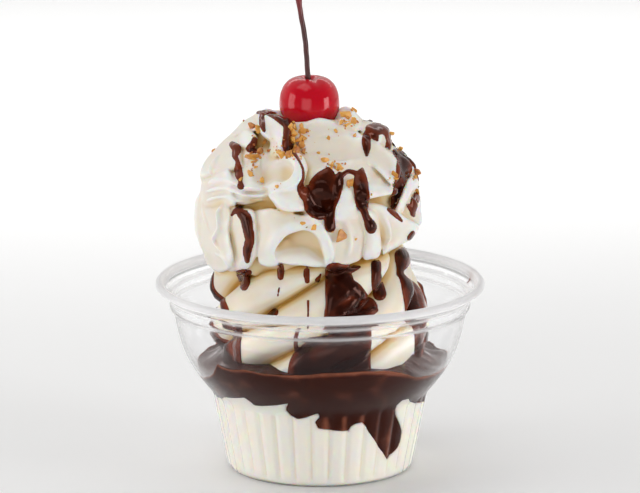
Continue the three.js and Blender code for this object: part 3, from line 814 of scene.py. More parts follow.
def cup_contents():
    """Fields of the vanilla ice cream and of the fudge layer above it."""
    reach = BOWL_TOP_RADIUS - 1
    box = ((-reach, -reach, FLOOR - 1), (reach, reach, CONTENTS_TOP), STEP * 1.1)
    ice, fudge = Block(*box), Block(*box)
    x, y, z = ice.everywhere()
    radius, azimuth = np.hypot(x, y), azimuth_of(x, y)
    rim = fudge_rim(azimuth)
    share = np.clip(radius / wall_radius(rim, azimuth, INTO_WALL), 0, 1)
    dip = POOL_SAG * np.sin(math.pi * np.clip((share - POOL_LEVEL) / POOL_SLOPE, 0, 1))
    top = SWIRL_FOOT - 0.2 + (rim - SWIRL_FOOT + 0.2) * smooth_step(share, POOL_LEVEL, 1.0) - dip
    ripples = 0.4 * ripple(x, y, 0 * x, 7.0, 6) * smooth_step(share, 0.99, 0.93)
    top = top + (0.35 * ripple(x, y, 0 * x, 16.0, 5) + ripples)
    side = radius - wall_radius(z, azimuth, INTO_WALL)
    lift = smooth_step(radius, FUDGE_MIDDLE, FUDGE_OUTSIDE)
    border = read_map(wall_map(), azimuth + 0 * z, z + 0 * azimuth)
    border = border * lift + (1 - lift) * (FUDGE_MIDDLE_LOW - z)
    ice.field = blend_max(np.maximum(side, -border), FLOOR - 0.4 - z, 0.8).astype(np.float32)
    fudge.field = np.maximum(np.maximum(side, border), z - top).astype(np.float32)
    return ice, fudge


def make_contents():
    ice, fudge = cup_contents()
    base = piece("vanilla_base", *ice.mesh(), VANILLA)
    x, y, z = thin_out(base, BASE_TRIANGLES).T
    # painted shade along the flutes, where the wall presses into the ice cream
    mark(base, "hollow", BASE_FOLD_SHADE + FLUTE_FOLD_SHADE * flute(z, azimuth_of(x, y)) / FLUTE_DEPTH)
    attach(base, "root")
    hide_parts("ice_cream_base")
    pool = piece("fudge_pool", *fudge.mesh(), FUDGE_POOL)
    x, y, z = thin_out(pool, POOL_TRIANGLES).T
    azimuth = azimuth_of(x, y)
    below = fudge_rim(azimuth) - z
    inset = wall_radius(z, azimuth, 0) - np.hypot(x, y)
    # painted light: lighter red brown streaks along one side of each flute below the neck
    painted_flute_light = np.where(z < NECK_HEIGHT, 0.5 * flute(z, azimuth + 2) / FLUTE_DEPTH, 0)
    mark(pool, "thick", np.where(inset < 1.0, np.clip(below / SOLID_FUDGE, 0, 1) - painted_flute_light, 1.2))
    mark(pool, "wet", smooth_step(inset, 0.8, 1.6))
    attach(pool, "root")
    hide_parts("fudge_layer")


# ---------------------------------------------------------------- soft serve and whipped cream as fields

SWIRL_LOBES = 7
SWIRL_TWIST = 3.1
SWIRL_CREASE = (4.0, 69.3)  # a crease passes this azimuth at this height
SWIRL_CREASE_DEPTH, SWIRL_CREASE_SHARP = 0.17, 1.7
SWIRL_LOW, SWIRL_HIGH = 37.0, 78.0
SWIRL_SIDE = [
    (36, 33), (40.6, 34.5), (46, 36), (52, 36.2), (58, 35.0), (63, 34.0), (67, 33.2), (71, 32), (74, 30),
    (76.5, 27), (78, 22),
]
SWIRL_LEAN = ((50, 66), (0, -2.0))  # heights, and how far the swirl's middle leans to a side there


def swirl_field(block):
    x, y, z = block.everywhere()
    x = x - np.interp(z, *SWIRL_LEAN)
    radius, azimuth = np.hypot(x, y), azimuth_of(x, y)
    turn = azimuth - SWIRL_CREASE[0] - SWIRL_TWIST * (z - SWIRL_CREASE[1])
    crease = (1 - np.abs(np.sin(np.radians(turn) * SWIRL_LOBES / 2))) ** SWIRL_CREASE_SHARP
    sway = 1 + 0.02 * np.sin(np.radians(azimuth * 2 + 40)) + 0.015 * np.sin(np.radians(azimuth * 3 - z * 4))
    side = np.interp(z, *np.array(SWIRL_SIDE, float).T)
    body = (radius - side * sway * (1 - SWIRL_CREASE_DEPTH * crease)) * 0.85
    body = body + 0.25 * ripple(x, y, z, 12.0, 3)
    return np.maximum(np.maximum(body, z - SWIRL_HIGH), SWIRL_LOW - z).astype(np.float32)


# tiers from the lowest: square shapes the side, droop lowers the right, depth sinks the valleys between
# ridges, calm flattens them in front, and back draws the front in under the petals; ridges are (azimuth at
# the middle, degrees it moves for each millimetre up, how far it stands out)
TIERS = [
    dict(
        radius=38.3, middle=84.5, half=14.0, square=0.38, droop=5.0, depth=0.19, calm=0.8, back=2.4,
        ridges=[
            (-157, -.8, .4), (-133, -.9, -.5), (-108, -.8, .3), (-86, -1.1, 0), (-64, -1.8, .2),
            (-41, .3, .3), (-22, -.7, -.2), (9.5, -1.0, .8), (38, -.7, .2), (66, -2.2, .2), (88, -1.4, 0),
            (104, -.9, .5), (123, -.8, -.4), (141, -.7, .5), (160, -.9, 0), (181, -.8, .4),
        ],
    ),
    dict(
        radius=35.8, middle=98.5, half=14.0, square=0.51, droop=0.0, depth=0.17, calm=0.3, back=3.4,
        ridges=[
            (-152, -1.3, 0), (-128, -1.2, .5), (-106, -1.4, -.3), (-86, -1.0, .3), (-68, -.6, 0),
            (-46, -1.3, 0), (-22, -1.3, 0), (-3, -1.3, 0), (22, -1.3, 0), (44, -1.3, 0), (66, -1.3, .3),
            (88, -1.3, .4), (110, -1.4, -.3), (133, -1.2, .5), (156, -1.3, 0), (180, -1.3, .3),
        ],
    ),
    dict(
        radius=23.8, middle=111.0, half=9.8, square=0.7, droop=0.0, depth=0.15, calm=0.3, back=4.2,
        ridges=[
            (-146, -1.5, .4), (-110, -1.5, 0), (-76, -1.5, 0), (-44, -1.5, 0), (-12, -1.5, 0),
            (26, -1.5, 0), (62, -1.5, 0), (100, -1.5, .3), (140, -1.5, 0), (178, -1.5, .3),
        ],
    ),
]
WIDEST_VALLEY = 34.0  # degrees
FRONT_REACH = 75.0  # degrees to each side of the front over which calm and back hold
CORE_SIDE = [(72, 16), (76, 22), (80, 27), (92, 27), (104, 26), (114, 18), (118, 6)]  # (height, radius)
CORE_LOW, CORE_HIGH = 74, 117


def ridge_relief(azimuth, z, tier):
    """How far one level of a tier lies inside its radius: sharp crests, round valleys."""
    table = np.array(tier["ridges"])
    lines = table[:, 0] + table[:, 1] * (z - tier["middle"])
    order = np.argsort(lines)
    lines, proud = lines[order], table[order, 2]
    lines = np.concatenate([lines - 360, lines, lines + 360])
    proud = np.tile(proud, 3)
    after = np.clip(np.searchsorted(lines, azimuth), 1, len(lines) - 1)
    here, ahead = lines[after - 1], lines[after]
    share = np.clip((azimuth - here) / np.maximum(ahead - here, 1.0), 0, 1)
    spread = np.radians(np.clip(ahead - here, 0, WIDEST_VALLEY)) * tier["radius"]
    front = np.exp(-(azimuth / FRONT_REACH) ** 4)
    calm = 1 + (tier["calm"] - 1) * front
    valley = tier["depth"] * calm * spread * np.sin(math.pi * share) ** 0.8
    return valley - (proud[after - 1] * (1 - share) + proud[after] * share) + tier["back"] * front


def tier_field(block, tier):
    """A tier as a squared ring, one level after the other."""
    x, y, _ = block.everywhere()
    x, y = x[:, :, 0] - CREAM_X, y[:, :, 0]
    radius, azimuth = np.hypot(x, y), azimuth_of(x, y)
    made = np.full(block.field.shape, FAR, np.float32)
    power = 2 / tier["square"]
    half, middle = tier["half"], tier["middle"]
    for k, z in enumerate(block.axes[2]):
        if abs(z - middle) > half + 8:
            continue
        hang = tier["droop"] * np.sin(np.radians(azimuth)) * np.clip((middle - z) / half, 0, 1)
        rise = (z - hang - middle) / half
        reach = tier["radius"] - ridge_relief(azimuth, z, tier)
        share = np.clip(radius / reach, 1e-3, 1.6)
        value = share ** power + rise * rise - 1
        slope = np.hypot(power * share ** (power - 1) / reach, 2 * rise / half) + 1e-3
        made[:, :, k] = np.clip(value / slope, -FAR, FAR)
    return made


def core_field(block):
    """Plain body of cream that the tiers wrap round."""
    x, y, z = block.everywhere()
    body = np.hypot(x - CREAM_X, y) - np.interp(z, *np.array(CORE_SIDE, float).T)
    body = np.maximum(body * 0.8, np.maximum(z - CORE_HIGH, CORE_LOW - z))
    return np.clip(body, -FAR, FAR).astype(np.float32)


# petals of cream laid over the tiers: how far the middle domes, how round the rim's edge is, and the rim in
# the front view as (across, down, how far it stands out from the plain outline)
PETALS = [
    # hollow with nuts, and lobes that fudge lies on
    (.3, 1.2, [
        (283, 117, -1.2), (297, 117, -.8), (307, 119, -.8), (305, 135, -1.4), (303, 152, -1.6),
        (296, 159, -1.6), (282, 157, -1.2), (281, 140, -1.2),
    ]),
    (1.1, 1.4, [
        (305, 172, -1), (316, 166, -.6), (330, 164, -.4), (342, 170, -.4), (344, 182, -.6),
        (340, 194, -1.2), (330, 200, -2), (316, 200, -2.2), (305, 196, -2), (302, 184, -1.6),
    ]),
    (.5, 1.2, [
        (350, 170, -.4), (358, 165, -.2), (368, 172, .2), (371, 186, .2), (368, 202, -.2), (372, 216, .3),
        (372, 228, .6), (364, 228, .6), (358, 214, 0), (352, 200, -.6), (350, 184, -.6),
    ]),
    (.8, 1.2, [
        (388, 148, -.5), (398, 146, 0), (410, 152, .2), (420, 164, .4), (425, 176, .4), (421, 188, .2),
        (413, 198, -.4), (402, 208, -.8), (392, 212, -1.2), (391, 196, -1.6), (398, 184, -1.4),
        (401, 170, -1.2), (398, 158, -1),
    ]),
    (.6, 1.0, [
        (362, 124, .2), (370, 122, .8), (384, 123.5, 1.4), (391.5, 126, 1.6), (391.5, 146, .8),
        (384, 147, -.2), (372, 140, -.6), (362, 134, -.4),
    ]),
    (.6, 1.2, [
        (339, 112, 0), (344, 107, .8), (351, 108, 1), (357, 114, 1), (362, 121, .8), (363, 129, .4),
        (352, 131, 0), (340, 127, 0),
    ]),
    (.6, 1.2, [
        (262, 107, 0), (260, 118, 0), (258, 130, 0), (247, 133, -.2), (236, 137, 0), (224, 140, 0),
        (230, 126, 0), (246, 112, 0),
    ]),
    # great petal under the cherry, and the wide plane with a sharp corner below it
    (-1.8, 1.5, [
        (304, 123, -.6), (311, 117.5, .2), (319, 115, .4), (328, 117.5, .4), (338, 123.5, .4),
        (352, 129, .6), (361, 134, .8), (371, 140.5, .3), (384, 147.5, .8), (392.5, 154, 1.2),
        (398, 162.5, 1.6), (398.5, 171, 1.8), (396.5, 179, 1.6), (392, 184.5, 1.3), (386, 179, 1.1),
        (380, 172.5, .6), (371, 166, 0), (358, 161, -.6), (343, 162, -.8), (330, 164, -.8), (318, 168, -1),
        (310, 172, -1.4), (304, 165, -1.2), (301.5, 155, -1), (299.5, 143, -.8), (300, 132, -.8),
    ]),
    (.4, .7, [
        (318, 167, -.8), (330, 161.5, -.2), (343.6, 160.8, .1), (358, 157.5, -.6), (366, 162, -1),
        (377, 170, -1), (387, 181, -.5), (396.6, 191.7, 2.5), (384.6, 195, 2.2), (372, 197.5, 1.8),
        (364, 200, 0), (350, 200, -1), (335, 200, -1.4), (322, 196, -1.4), (314, 182, -1.4),
    ]),
    # tongue at the top left, and the long fold it runs into
    (.7, 1.1, [
        (259, 112, .2), (266, 108.5, .6), (274, 111, 1), (281, 116, 1.4), (284.5, 122, 1.8), (284, 130, 2),
        (281.5, 138, 1.9), (280, 147, 1.7), (280, 156, 1.5), (274, 160, .6), (268, 156, -.6),
        (269.5, 148, -.4), (270.5, 141, 0), (264, 135, .2), (259, 128, .2), (257.5, 119, 0),
    ]),
    (.5, .8, [
        (268, 152, 0), (275, 156, 1), (280, 158.8, 1.8), (288.7, 155.6, 2.2), (296, 158.5, 2.5),
        (301.5, 164.5, 2.7), (302.7, 171.5, 2.7), (299.5, 179.5, 2.5), (293, 186, 2.1), (284, 190, 1.6),
        (275, 191.3, .8), (268, 188.5, 0), (260, 181, -.6), (255, 172, -1.2), (256, 161, -1.2),
        (261, 154, -.8),
    ]),
    (.8, .9, [
        (270.5, 190.5, .6), (280, 189, 1), (292, 186.5, 1.2), (301, 183, .6), (306, 190, -.5),
        (308, 201, -1), (306, 210.5, .2), (297, 211.5, 1), (286, 210.5, 1.5), (277.5, 206.6, 1.7),
        (272, 199.5, 1.4), (269.8, 194, .9),
    ]),
    # domes down the left side
    (.8, 1.2, [
        (243, 129, 0), (252, 131, .6), (257.5, 138, .6), (256, 146, .4), (248, 149, .4), (240, 146, .4),
        (236, 138, .2),
    ]),
    (.9, 1.8, [
        (236, 133, 0), (241, 146, .2), (243, 158, .2), (243, 168, .2), (236, 170, .3), (229, 171.5, .6),
        (221, 173.5, .7), (211, 176.5, .6), (199, 180.5, .4), (192, 172, 0), (200, 150, 0), (214, 138, 0),
    ]),
    (.6, .9, [
        (243, 148, -.8), (252, 147, -.4), (262, 152, -.4), (262, 165, 0), (268, 178, .3), (271, 186, 0),
        (262, 186.5, .4), (250, 188.5, .7), (238, 187, .7), (227, 182, .3), (228, 175, .2), (238, 172, 0),
        (243, 165, -.6),
    ]),
    (.6, .9, [
        (196, 183, 0), (208, 178, .5), (219, 173, 1.0), (228, 170.5, 1.3), (232, 178, 1.3), (232, 188, 1.2),
        (234, 198, 1.0), (236, 205, .6), (222, 207, .2), (210, 206.5, .2), (198, 206, .2), (190, 203, 0),
        (190, 192, 0),
    ]),
    # thin pleats stacked between the domes and the long fold
    (0, .5, [
        (225, 182, .6), (238, 186, .6), (252, 187, .3), (271, 182, -.6), (272, 186.5, -.5),
        (252, 191.8, .5), (238, 191, 1), (227, 189, 1.2),
    ]),
    (0, .5, [
        (227, 188, .2), (240, 191, .0), (254, 191, -.4), (270, 186, -1.4), (272, 192.5, -1.2),
        (254, 198, -.3), (240, 197.5, .4), (229, 196, .7),
    ]),
    (0, .5, [
        (230, 196, -.3), (243, 198, -.7), (256, 197, -1.1), (270, 192, -2), (272, 197.5, -1.8),
        (257, 203, -1), (243, 204, -.3), (233, 203, 0),
    ]),
    # lower tier, left to right
    (.5, 1.2, [
        (192, 206, 0), (210, 207, .4), (224, 203, .4), (230, 208, .6), (232, 214, .8), (230, 226, 1.3),
        (231, 240, 1.6), (234, 254, 1.6), (231, 267, 1), (221, 272.5, .6), (208, 270, .4), (196, 262, 0),
        (190, 245, 0), (190, 222, 0),
    ]),
    (.7, 1.1, [
        (233, 207, 0), (243, 209, .2), (252, 209, 0), (256, 216, .3), (257, 230, .7), (258, 244, .9),
        (258, 254, .7), (252, 264, .4), (244, 270, 0), (237, 271, 0), (233, 262, .4), (235, 246, .6),
        (233, 230, .4), (231, 216, .3),
    ]),
    (.2, 1.2, [
        (227, 207, 0), (237, 212, .1), (239, 230, .5), (239, 250, .6), (238, 268, .2), (228, 270, .2),
        (227, 250, .6), (225, 228, .5),
    ]),
    (0, .8, [
        (262, 247, .6), (281, 240, -.8), (296, 235, -1.8), (308, 233, -2.0), (319, 240, -1.6),
        (326, 253, -1.0), (329, 264.5, 0), (318, 266.5, .3), (305, 266, .5), (292, 265.5, .5),
        (278, 263.5, .5), (268, 264.5, .5), (261, 257, .6),
    ]),
    (.5, .8, [
        (254, 212, -.8), (268, 208, -.3), (284, 212, .2), (300, 214.5, .2), (310, 216, .4),
        (317.5, 222, 1.2), (324, 232, 1.7), (329.5, 244, 1.9), (333, 256, 1.7), (331, 264, .8),
        (326.5, 266, 0), (325, 256, .8), (320.5, 243, 1.2), (313, 233.5, 1.3), (304, 230.5, 1.3),
        (293, 233, 1.3), (283, 239, 1.4), (277, 246, 1.2), (275, 252, 1), (277, 259, .7), (279, 265.5, .4),
        (266, 266, .4), (259, 262, .5), (258, 250, .6), (257, 238, .3), (255, 226, -.2),
    ]),
    (.5, 1.0, [
        (312, 216, -.2), (330, 214, 0), (345, 212, .2), (356, 214, .4), (362, 222, .6), (366, 234, .7),
        (365, 246, .7), (362, 258, .5), (352, 263.5, .3), (340, 266.5, .2), (331, 266, 0), (334, 256, .6),
        (331, 243, .8), (325, 230, .8), (318, 221, .5),
    ]),
    (.8, 1.0, [
        (356, 212, .6), (368, 209, .8), (376, 214, 1), (379, 226, 1.4), (381.5, 240, 1.8), (382, 251, 1.7),
        (378.5, 257.5, 1.3), (371, 259, 1.1), (364, 259.5, .9), (363.5, 248, 1), (365, 236, 1.1),
        (361, 224, .9),
    ]),
    (.5, .8, [
        (366, 204, .2), (380, 205, .7), (392, 209.5, 1.2), (404, 216.5, 1.7), (418.5, 224, 2),
        (417.5, 232, 2), (411, 238.5, 1.8), (401, 244.5, 1.6), (391, 250.5, 1.3), (382.5, 255, .8),
        (382, 244, .2), (379.5, 230, .2), (374, 216, .2),
    ]),
    # cone between two runs of fudge, and the white blade at the far right
    (.9, 1.2, [
        (346.5, 181, -.6), (351, 184, -.4), (354, 194, .1), (357.5, 208, .6), (358, 221, .9),
        (345, 223, .9), (333.5, 222, .8), (334.5, 210, .5), (339, 196, 0), (343, 186, -.5),
    ]),
    (.6, .8, [
        (417, 171, .2), (421.5, 176, .7), (419.5, 185, 1), (411.5, 192, 1), (406, 204, .9), (402, 213, .7),
        (393.5, 214, .3), (397, 206, .5), (402, 193, .6), (406, 183, .5), (411, 175, .3),
    ]),
]
PETAL_SOFT, PETAL_THICK = 0.6, 9
PETAL_SPACING = 2.5  # steps between points of a rim
PETAL_SPAN = (212, 405)  # steps across within which rims are placed to find their part of the grid
PETAL_REACH = 9  # steps beyond a rim that are worked out
PETAL_MARGIN = 14  # round the rim's places on the grid
PETAL_SINK = 0.8  # the rims' amounts lie this far inside the plain outline
RIM_EVEN = 16  # how far the amounts of a rim's points are evened out
DOME_REACH = 4.0  # over this distance from the rim the dome rises
SIDE_FADE, SIDE_MIDDLE, SIDE_REACH = 1.3, 308, (62, 100)  # petals sink by this to both sides of this middle
BACK_FADE, BACK_REACH = 5, (0, 14)  # and by this behind the axis
PETAL_LEAN = ((98, 106, 116, 121), (1, .85, .55, .4))  # heights, and how upright the side stands there
NEST_HEIGHT = 117.0  # the cream dips to this height round the cherry
NEST_BUMP, NEST_BUMP_X, NEST_BUMP_WIDE = 1.5, -0.4, 3.9  # it rises a little in front of the cherry's foot
NEST_RISE = 8  # and by this much behind it
NEST_RADII = (15, 19)  # the nest fades out between these radii
NEST_SOFT, CHERRY_SINK, CHERRY_SOFT = 1.2, 0.3, 0.8
TIER_SOFT = 1.6
RELIEF, FOLD_RELIEF = 2.2, 1.25  # how much the petals' and the folds' amounts are magnified
SHOULDER_HEIGHT, SHOULDER_DEPTH = 112.0, 2.8  # the sides and the back pull in most at this height
SHOULDER_REACH, SHOULDER_AZIMUTHS = 7, (50, 80)  # above and below it, and from the front to the sides

# sharper ridges on the petals: the blade's sizes (depth, width at its root, rise of the root, thickness of
# its edge, softness of the join) and its crest as (across, down, how far it stands out)
FRONT_FOLDS = [
    ((5, 1.7, -1, .5, 1.0), [
        (279, 114, 1.2), (284, 122, 2.4), (283.5, 132, 3.2), (281, 141, 3.2), (279.5, 150, 2.8),
        (281, 157, 2.6), (289, 155.5, 3.2), (297, 159.5, 3.7), (302, 167, 4), (301.5, 175, 4),
        (297, 182.6, 3.8), (289.5, 188, 3.2), (278, 190.5, 2.4), (271, 193, 1.4), (273, 200, 1.8),
        (281, 206, 2.2), (292, 209.5, 1.8),
    ]),
    ((5, 1.8, -1, .5, 1.2), [
        (260, 113, .6), (258.5, 121, 1), (261, 130, 1), (267, 136, .8), (272, 141, .4),
    ]),
    ((6, 1.8, 0, .5, 1.4), [
        (222, 205, 1.2), (215.5, 212, 1.8), (217, 228, 2.2), (212, 240, 2.2), (219, 251, 2.0),
        (227, 259, 1.6),
    ]),
    ((6, 1.8, 0, .5, 1.4), [(212, 252, 1.4), (222, 258, 1.8), (229, 267, 1.2)]),
    ((6, 1.9, 0, .5, 1.2), [(214, 157, .8), (209, 166, 1.2), (206, 176, 1.0)]),
    ((6, 1.3, 0, .4, .8), [
        (203, 185, .7), (212, 181.5, 1.2), (225, 180, 1.7), (234, 183.5, 1.6), (244, 187.3, 1.4),
        (256, 188, 1.0), (270, 185.5, 0),
    ]),
    ((6, 1.3, 0, .4, .8), [
        (200, 193, .8), (211, 190, 1.3), (225, 188.5, 1.7), (235, 191.7, 1.4), (246, 195.7, 1.0),
        (258, 196.3, .4), (271, 192.5, -.8),
    ]),
    ((6, 1.5, 0, .45, 1.0), [
        (202, 202, .6), (212, 198.5, 1.2), (225, 197, 1.6), (236, 200.5, .9), (247, 203.5, 0),
    ]),
    ((6, 1.8, 0, .5, 1.2), [
        (305, 215, .8), (314, 219, 1.4), (322, 226, 2.0), (328.5, 238, 2.3), (332, 252, 2.2),
        (331, 262, 1.4),
    ]),
    ((6, 1.8, 0, .5, 1.2), [(384, 214, 1.2), (390, 226, 1.7), (392, 238, 1.8), (387, 250, 1.4)]),
    ((6, 2.0, 0, .6, 1.6), [(343, 218, .6), (350, 230, 1.2), (352, 244, 1.4), (348, 258, 1.0)]),
    ((5, 1.6, -1, .5, 1.2), [(378.5, 146, .2), (381.5, 138, .6), (383, 131, .4)]),
]

# folds all round: the same sizes, and the crest as (azimuth, height, how far it stands out)
ROUND_FOLDS = [
    ((8, 3.0, -2, .8, 1.6), [(118, 116.5, 0), (104, 111.5, .8), (112, 106, 1), (126, 100, 1)]),
    ((8, 3.0, -2, .8, 1.6), [(-168, 118, 0), (-176, 113, .8), (-160, 107.5, 1), (-150, 101, 1)]),
    ((6, 2.6, -4, .8, 1.6), [(30, 121, 0), (50, 122.6, 1), (72, 121.6, 1), (92, 119, 0)]),
    ((6, 2.8, -4, .9, 1.6), [(150, 121.4, 0), (178, 122.4, 1), (206, 121.4, 0)]),
    ((8, 3.0, -2, .8, 1.6), [(-124, 118, 0), (-112, 113.5, .5), (-100, 107, .8), (-104, 101, .8)]),
    ((8, 2.8, -1, .7, 1.6), [(150, 116, 0), (160, 111.5, .8), (150, 106, 1), (162, 99, 1)]),
    ((8, 2.8, -1, .7, 1.6), [(96, 117, 0), (86, 111, .6), (94, 104.6, .8), (84, 98.6, .6)]),
    ((8, 2.2, 0, .6, 1.4), [(-150, 94, 0), (-136, 92, 1), (-120, 93, 1), (-104, 95, 0)]),
    ((8, 2.2, 0, .6, 1.4), [(112, 95, 0), (128, 92.6, 1.2), (146, 92, 1.2), (164, 94.6, 0)]),
    ((8, 2.6, -1, .7, 1.6), [(-146, 113, 0), (-130, 109.5, .8), (-134, 104, 1), (-122, 99, .6)]),
]

# hollows scooped out of the cream in the front view: (across, down, how far out), half sizes (across, up,
# deep) and how soft their edge is
SCOOPS = [
    ((283, 169.5, 3.8), (3.6, 3.9, 3.4), 1.4),
    ((270, 168, 3.2), (6.0, 4.4, 3.9), 2.0),
    ((263, 166, 2.6), (4.2, 5.6, 3.9), 2.0),
    ((304, 247, 3.4), (6.4, 3.8, 4.2), 2.4),
    ((268, 149, 2.6), (3.0, 4.6, 3.4), 1.6),
    ((257, 204.5, 1.6), (6.2, 2.2, 6.4), .8),
    ((255, 192.5, 1.2), (6.0, .7, 4.2), .5),
]


def along_axis(x, y, z, place, axis):
    """How far each point lies along an axis from a place."""
    return (x - place[0]) * axis[0] + (y - place[1]) * axis[1] + (z - place[2]) * axis[2]
FOLD_SPACING = 0.7  # between points of a crest
FOLD_END_SINK = 0.5  # share of its depth by which a blade's ends sink


def add_fold(block, field, points, deep, wide, lift, thin, soft):
    """Joins a blade of cream to a field: it widens inwards from its crest and sinks away at its ends."""
    crest = through(points, FOLD_SPACING)
    last = len(crest) - 1
    roots, tips = [], []
    for k, tip in enumerate(crest):
        inward = np.array([CREAM_X, 0, tip[2]]) - tip
        inward *= deep / np.linalg.norm(inward)
        inward[2] = lift
        sink = FOLD_END_SINK * abs(2 * k / last - 1) ** 7
        tips.append(tip + inward * (sink + thin / deep))
        roots.append(tip + inward * (sink + 1))
    cut, x, y, z = block.window(np.array(tips + roots), wide + soft + 1)
    blade = np.full(np.broadcast(x, y, z).shape, FAR, np.float32)
    for tip, root in zip(tips, roots):
        axis = root - tip
        share = np.clip(along_axis(x, y, z, tip, axis) / (axis @ axis), 0, 1)
        gaps = [v - a - share * b for v, a, b in zip((x, y, z), tip, axis)]
        gap = np.sqrt(gaps[0] ** 2 + gaps[1] ** 2 + gaps[2] ** 2)
        blade = np.minimum(blade, gap - thin - (wide - thin) * share ** 0.8)
    field[cut] = blend_min(field[cut], blade, soft)


def rim_level(across, down, rim):
    """How far a petal stands out at each place, evened out from its rim's points."""
    weight, level = 1e-6, 0.0
    for rim_across, rim_down, out in rim:
        near = 1 / ((across - rim_across) ** 2 + (down - rim_down) ** 2 + RIM_EVEN) ** 1.5
        weight, level = weight + near, level + near * (RELIEF * out - PETAL_SINK)
    return level / weight


def add_petal(block, field, dome, edge, rim):
    """Joins a layer of cream to a field: its rim follows an outline in the front view."""
    loop = closed_line(rim, PETAL_SPACING)
    spots = [on_cream(min(max(across, PETAL_SPAN[0]), PETAL_SPAN[1]), down, 0) for across, down, _ in loop]
    cut, x, y, z = block.window(np.array(spots), PETAL_MARGIN)
    across, down, depth = in_view(x, y, z)
    low, high = loop.min(0) - PETAL_REACH, loop.max(0) + PETAL_REACH
    spread = (across > low[0]) & (across < high[0]) & (down > low[1]) & (down < high[1])
    spread = np.nonzero(spread & (depth < VIEW_DISTANCE + 8))
    across, down = across[spread], down[spread]
    x, y, z = (np.broadcast_to(v, depth.shape)[spread] for v in (x, y, z))
    gap = np.full(len(across), 1e3)
    for start, end in zip(loop, np.roll(loop, -1, 0)):
        gap = np.minimum(gap, to_segment(across, down, start, end)[1])
    within = np.where(enclosed(down, across, loop[:, [1, 0]]), gap, -gap) * VIEW_STEP
    swell = dome * (1 - (1 - np.clip(within / DOME_REACH, 0, 1)) ** 2)
    level = rim_level(across, down, rim) + swell - BACK_FADE * smooth_step(y, *BACK_REACH)
    level = level - SIDE_FADE * smooth_step(np.abs(across - SIDE_MIDDLE), *SIDE_REACH)
    front = (np.hypot(x - CREAM_X, y) - cream_side(z) - level) * np.interp(z, *PETAL_LEAN)
    side = -within
    outer = np.hypot(np.maximum(side + edge, 0), np.maximum(front + edge, 0)) - edge
    value = np.where((side > -edge) & (front > -edge), outer, np.maximum(side, front))
    value = np.maximum(value, -(front + PETAL_THICK))
    layer = field[cut]
    layer[spread] = blend_min(layer[spread], value, PETAL_SOFT)
    field[cut] = layer


def scoop_out(block, field, place, sizes, soft):
    """Takes a round hollow out of a field."""
    centre = on_cream(*place)
    cut, x, y, z = block.window(centre[None], max(sizes) + soft + 2)
    gap = 0.0
    for axis, size in zip((RIGHTWARD, UPWARD, FORWARD), sizes):
        gap = gap + (along_axis(x, y, z, centre, axis) / size) ** 2
    hole = (np.sqrt(gap) - 1) * min(sizes)
    field[cut] = blend_max(field[cut], -hole, soft)


def nest_height(x, y, radius):
    """Height of the hollow that the cherry sits in."""
    bump = NEST_BUMP * np.exp(-((x - NEST_BUMP_X) / NEST_BUMP_WIDE) ** 2) * smooth_step(-y, 0, 10) - 0.5
    behind = NEST_RISE * smooth_step(y / radius, -0.55, 0.1)
    return NEST_HEIGHT + bump + 0.0117 * radius ** 2 + behind - 0.25 * smooth_step(x, 0, 20)


def cream_field(block):
    field = core_field(block)
    for tier in TIERS:
        field = blend_min(field, tier_field(block, tier), TIER_SOFT)
    for sizes, crest in ROUND_FOLDS:
        points = [polar(a, cream_side(h) + out, h, CREAM_X) for a, h, out in crest]
        add_fold(block, field, points, *sizes)
    x, y, z = block.everywhere()
    beside = smooth_step(np.abs(azimuth_of(x - CREAM_X, y)), *SHOULDER_AZIMUTHS)
    field += SHOULDER_DEPTH * beside * np.exp(-((z - SHOULDER_HEIGHT) / SHOULDER_REACH) ** 2)
    for petal in PETALS:
        add_petal(block, field, *petal)
    for sizes, crest in FRONT_FOLDS:
        points = [on_cream(across, down, FOLD_RELIEF * out) for across, down, out in crest]
        add_fold(block, field, points, *sizes)
    for scoop in SCOOPS:
        scoop_out(block, field, *scoop)
    field += 0.16 * ripple(x, y, z, 7.0, 11) + 0.25 * ripple(x, y, z, 15.0, 12)
    radius = np.hypot(x - CREAM_X, y) + 0.01
    nest = z - nest_height(x, y, radius) - NEST_RISE * smooth_step(radius, *NEST_RADII)
    field = blend_max(field, nest, NEST_SOFT)
    cherry = np.sqrt(sum((v - middle) ** 2 for v, middle in zip((x, y, z), CHERRY_MIDDLE)))
    return blend_max(field, CHERRY_RADIUS - CHERRY_SINK - cherry, CHERRY_SOFT)


# ---------------------------------------------------------------- drizzle

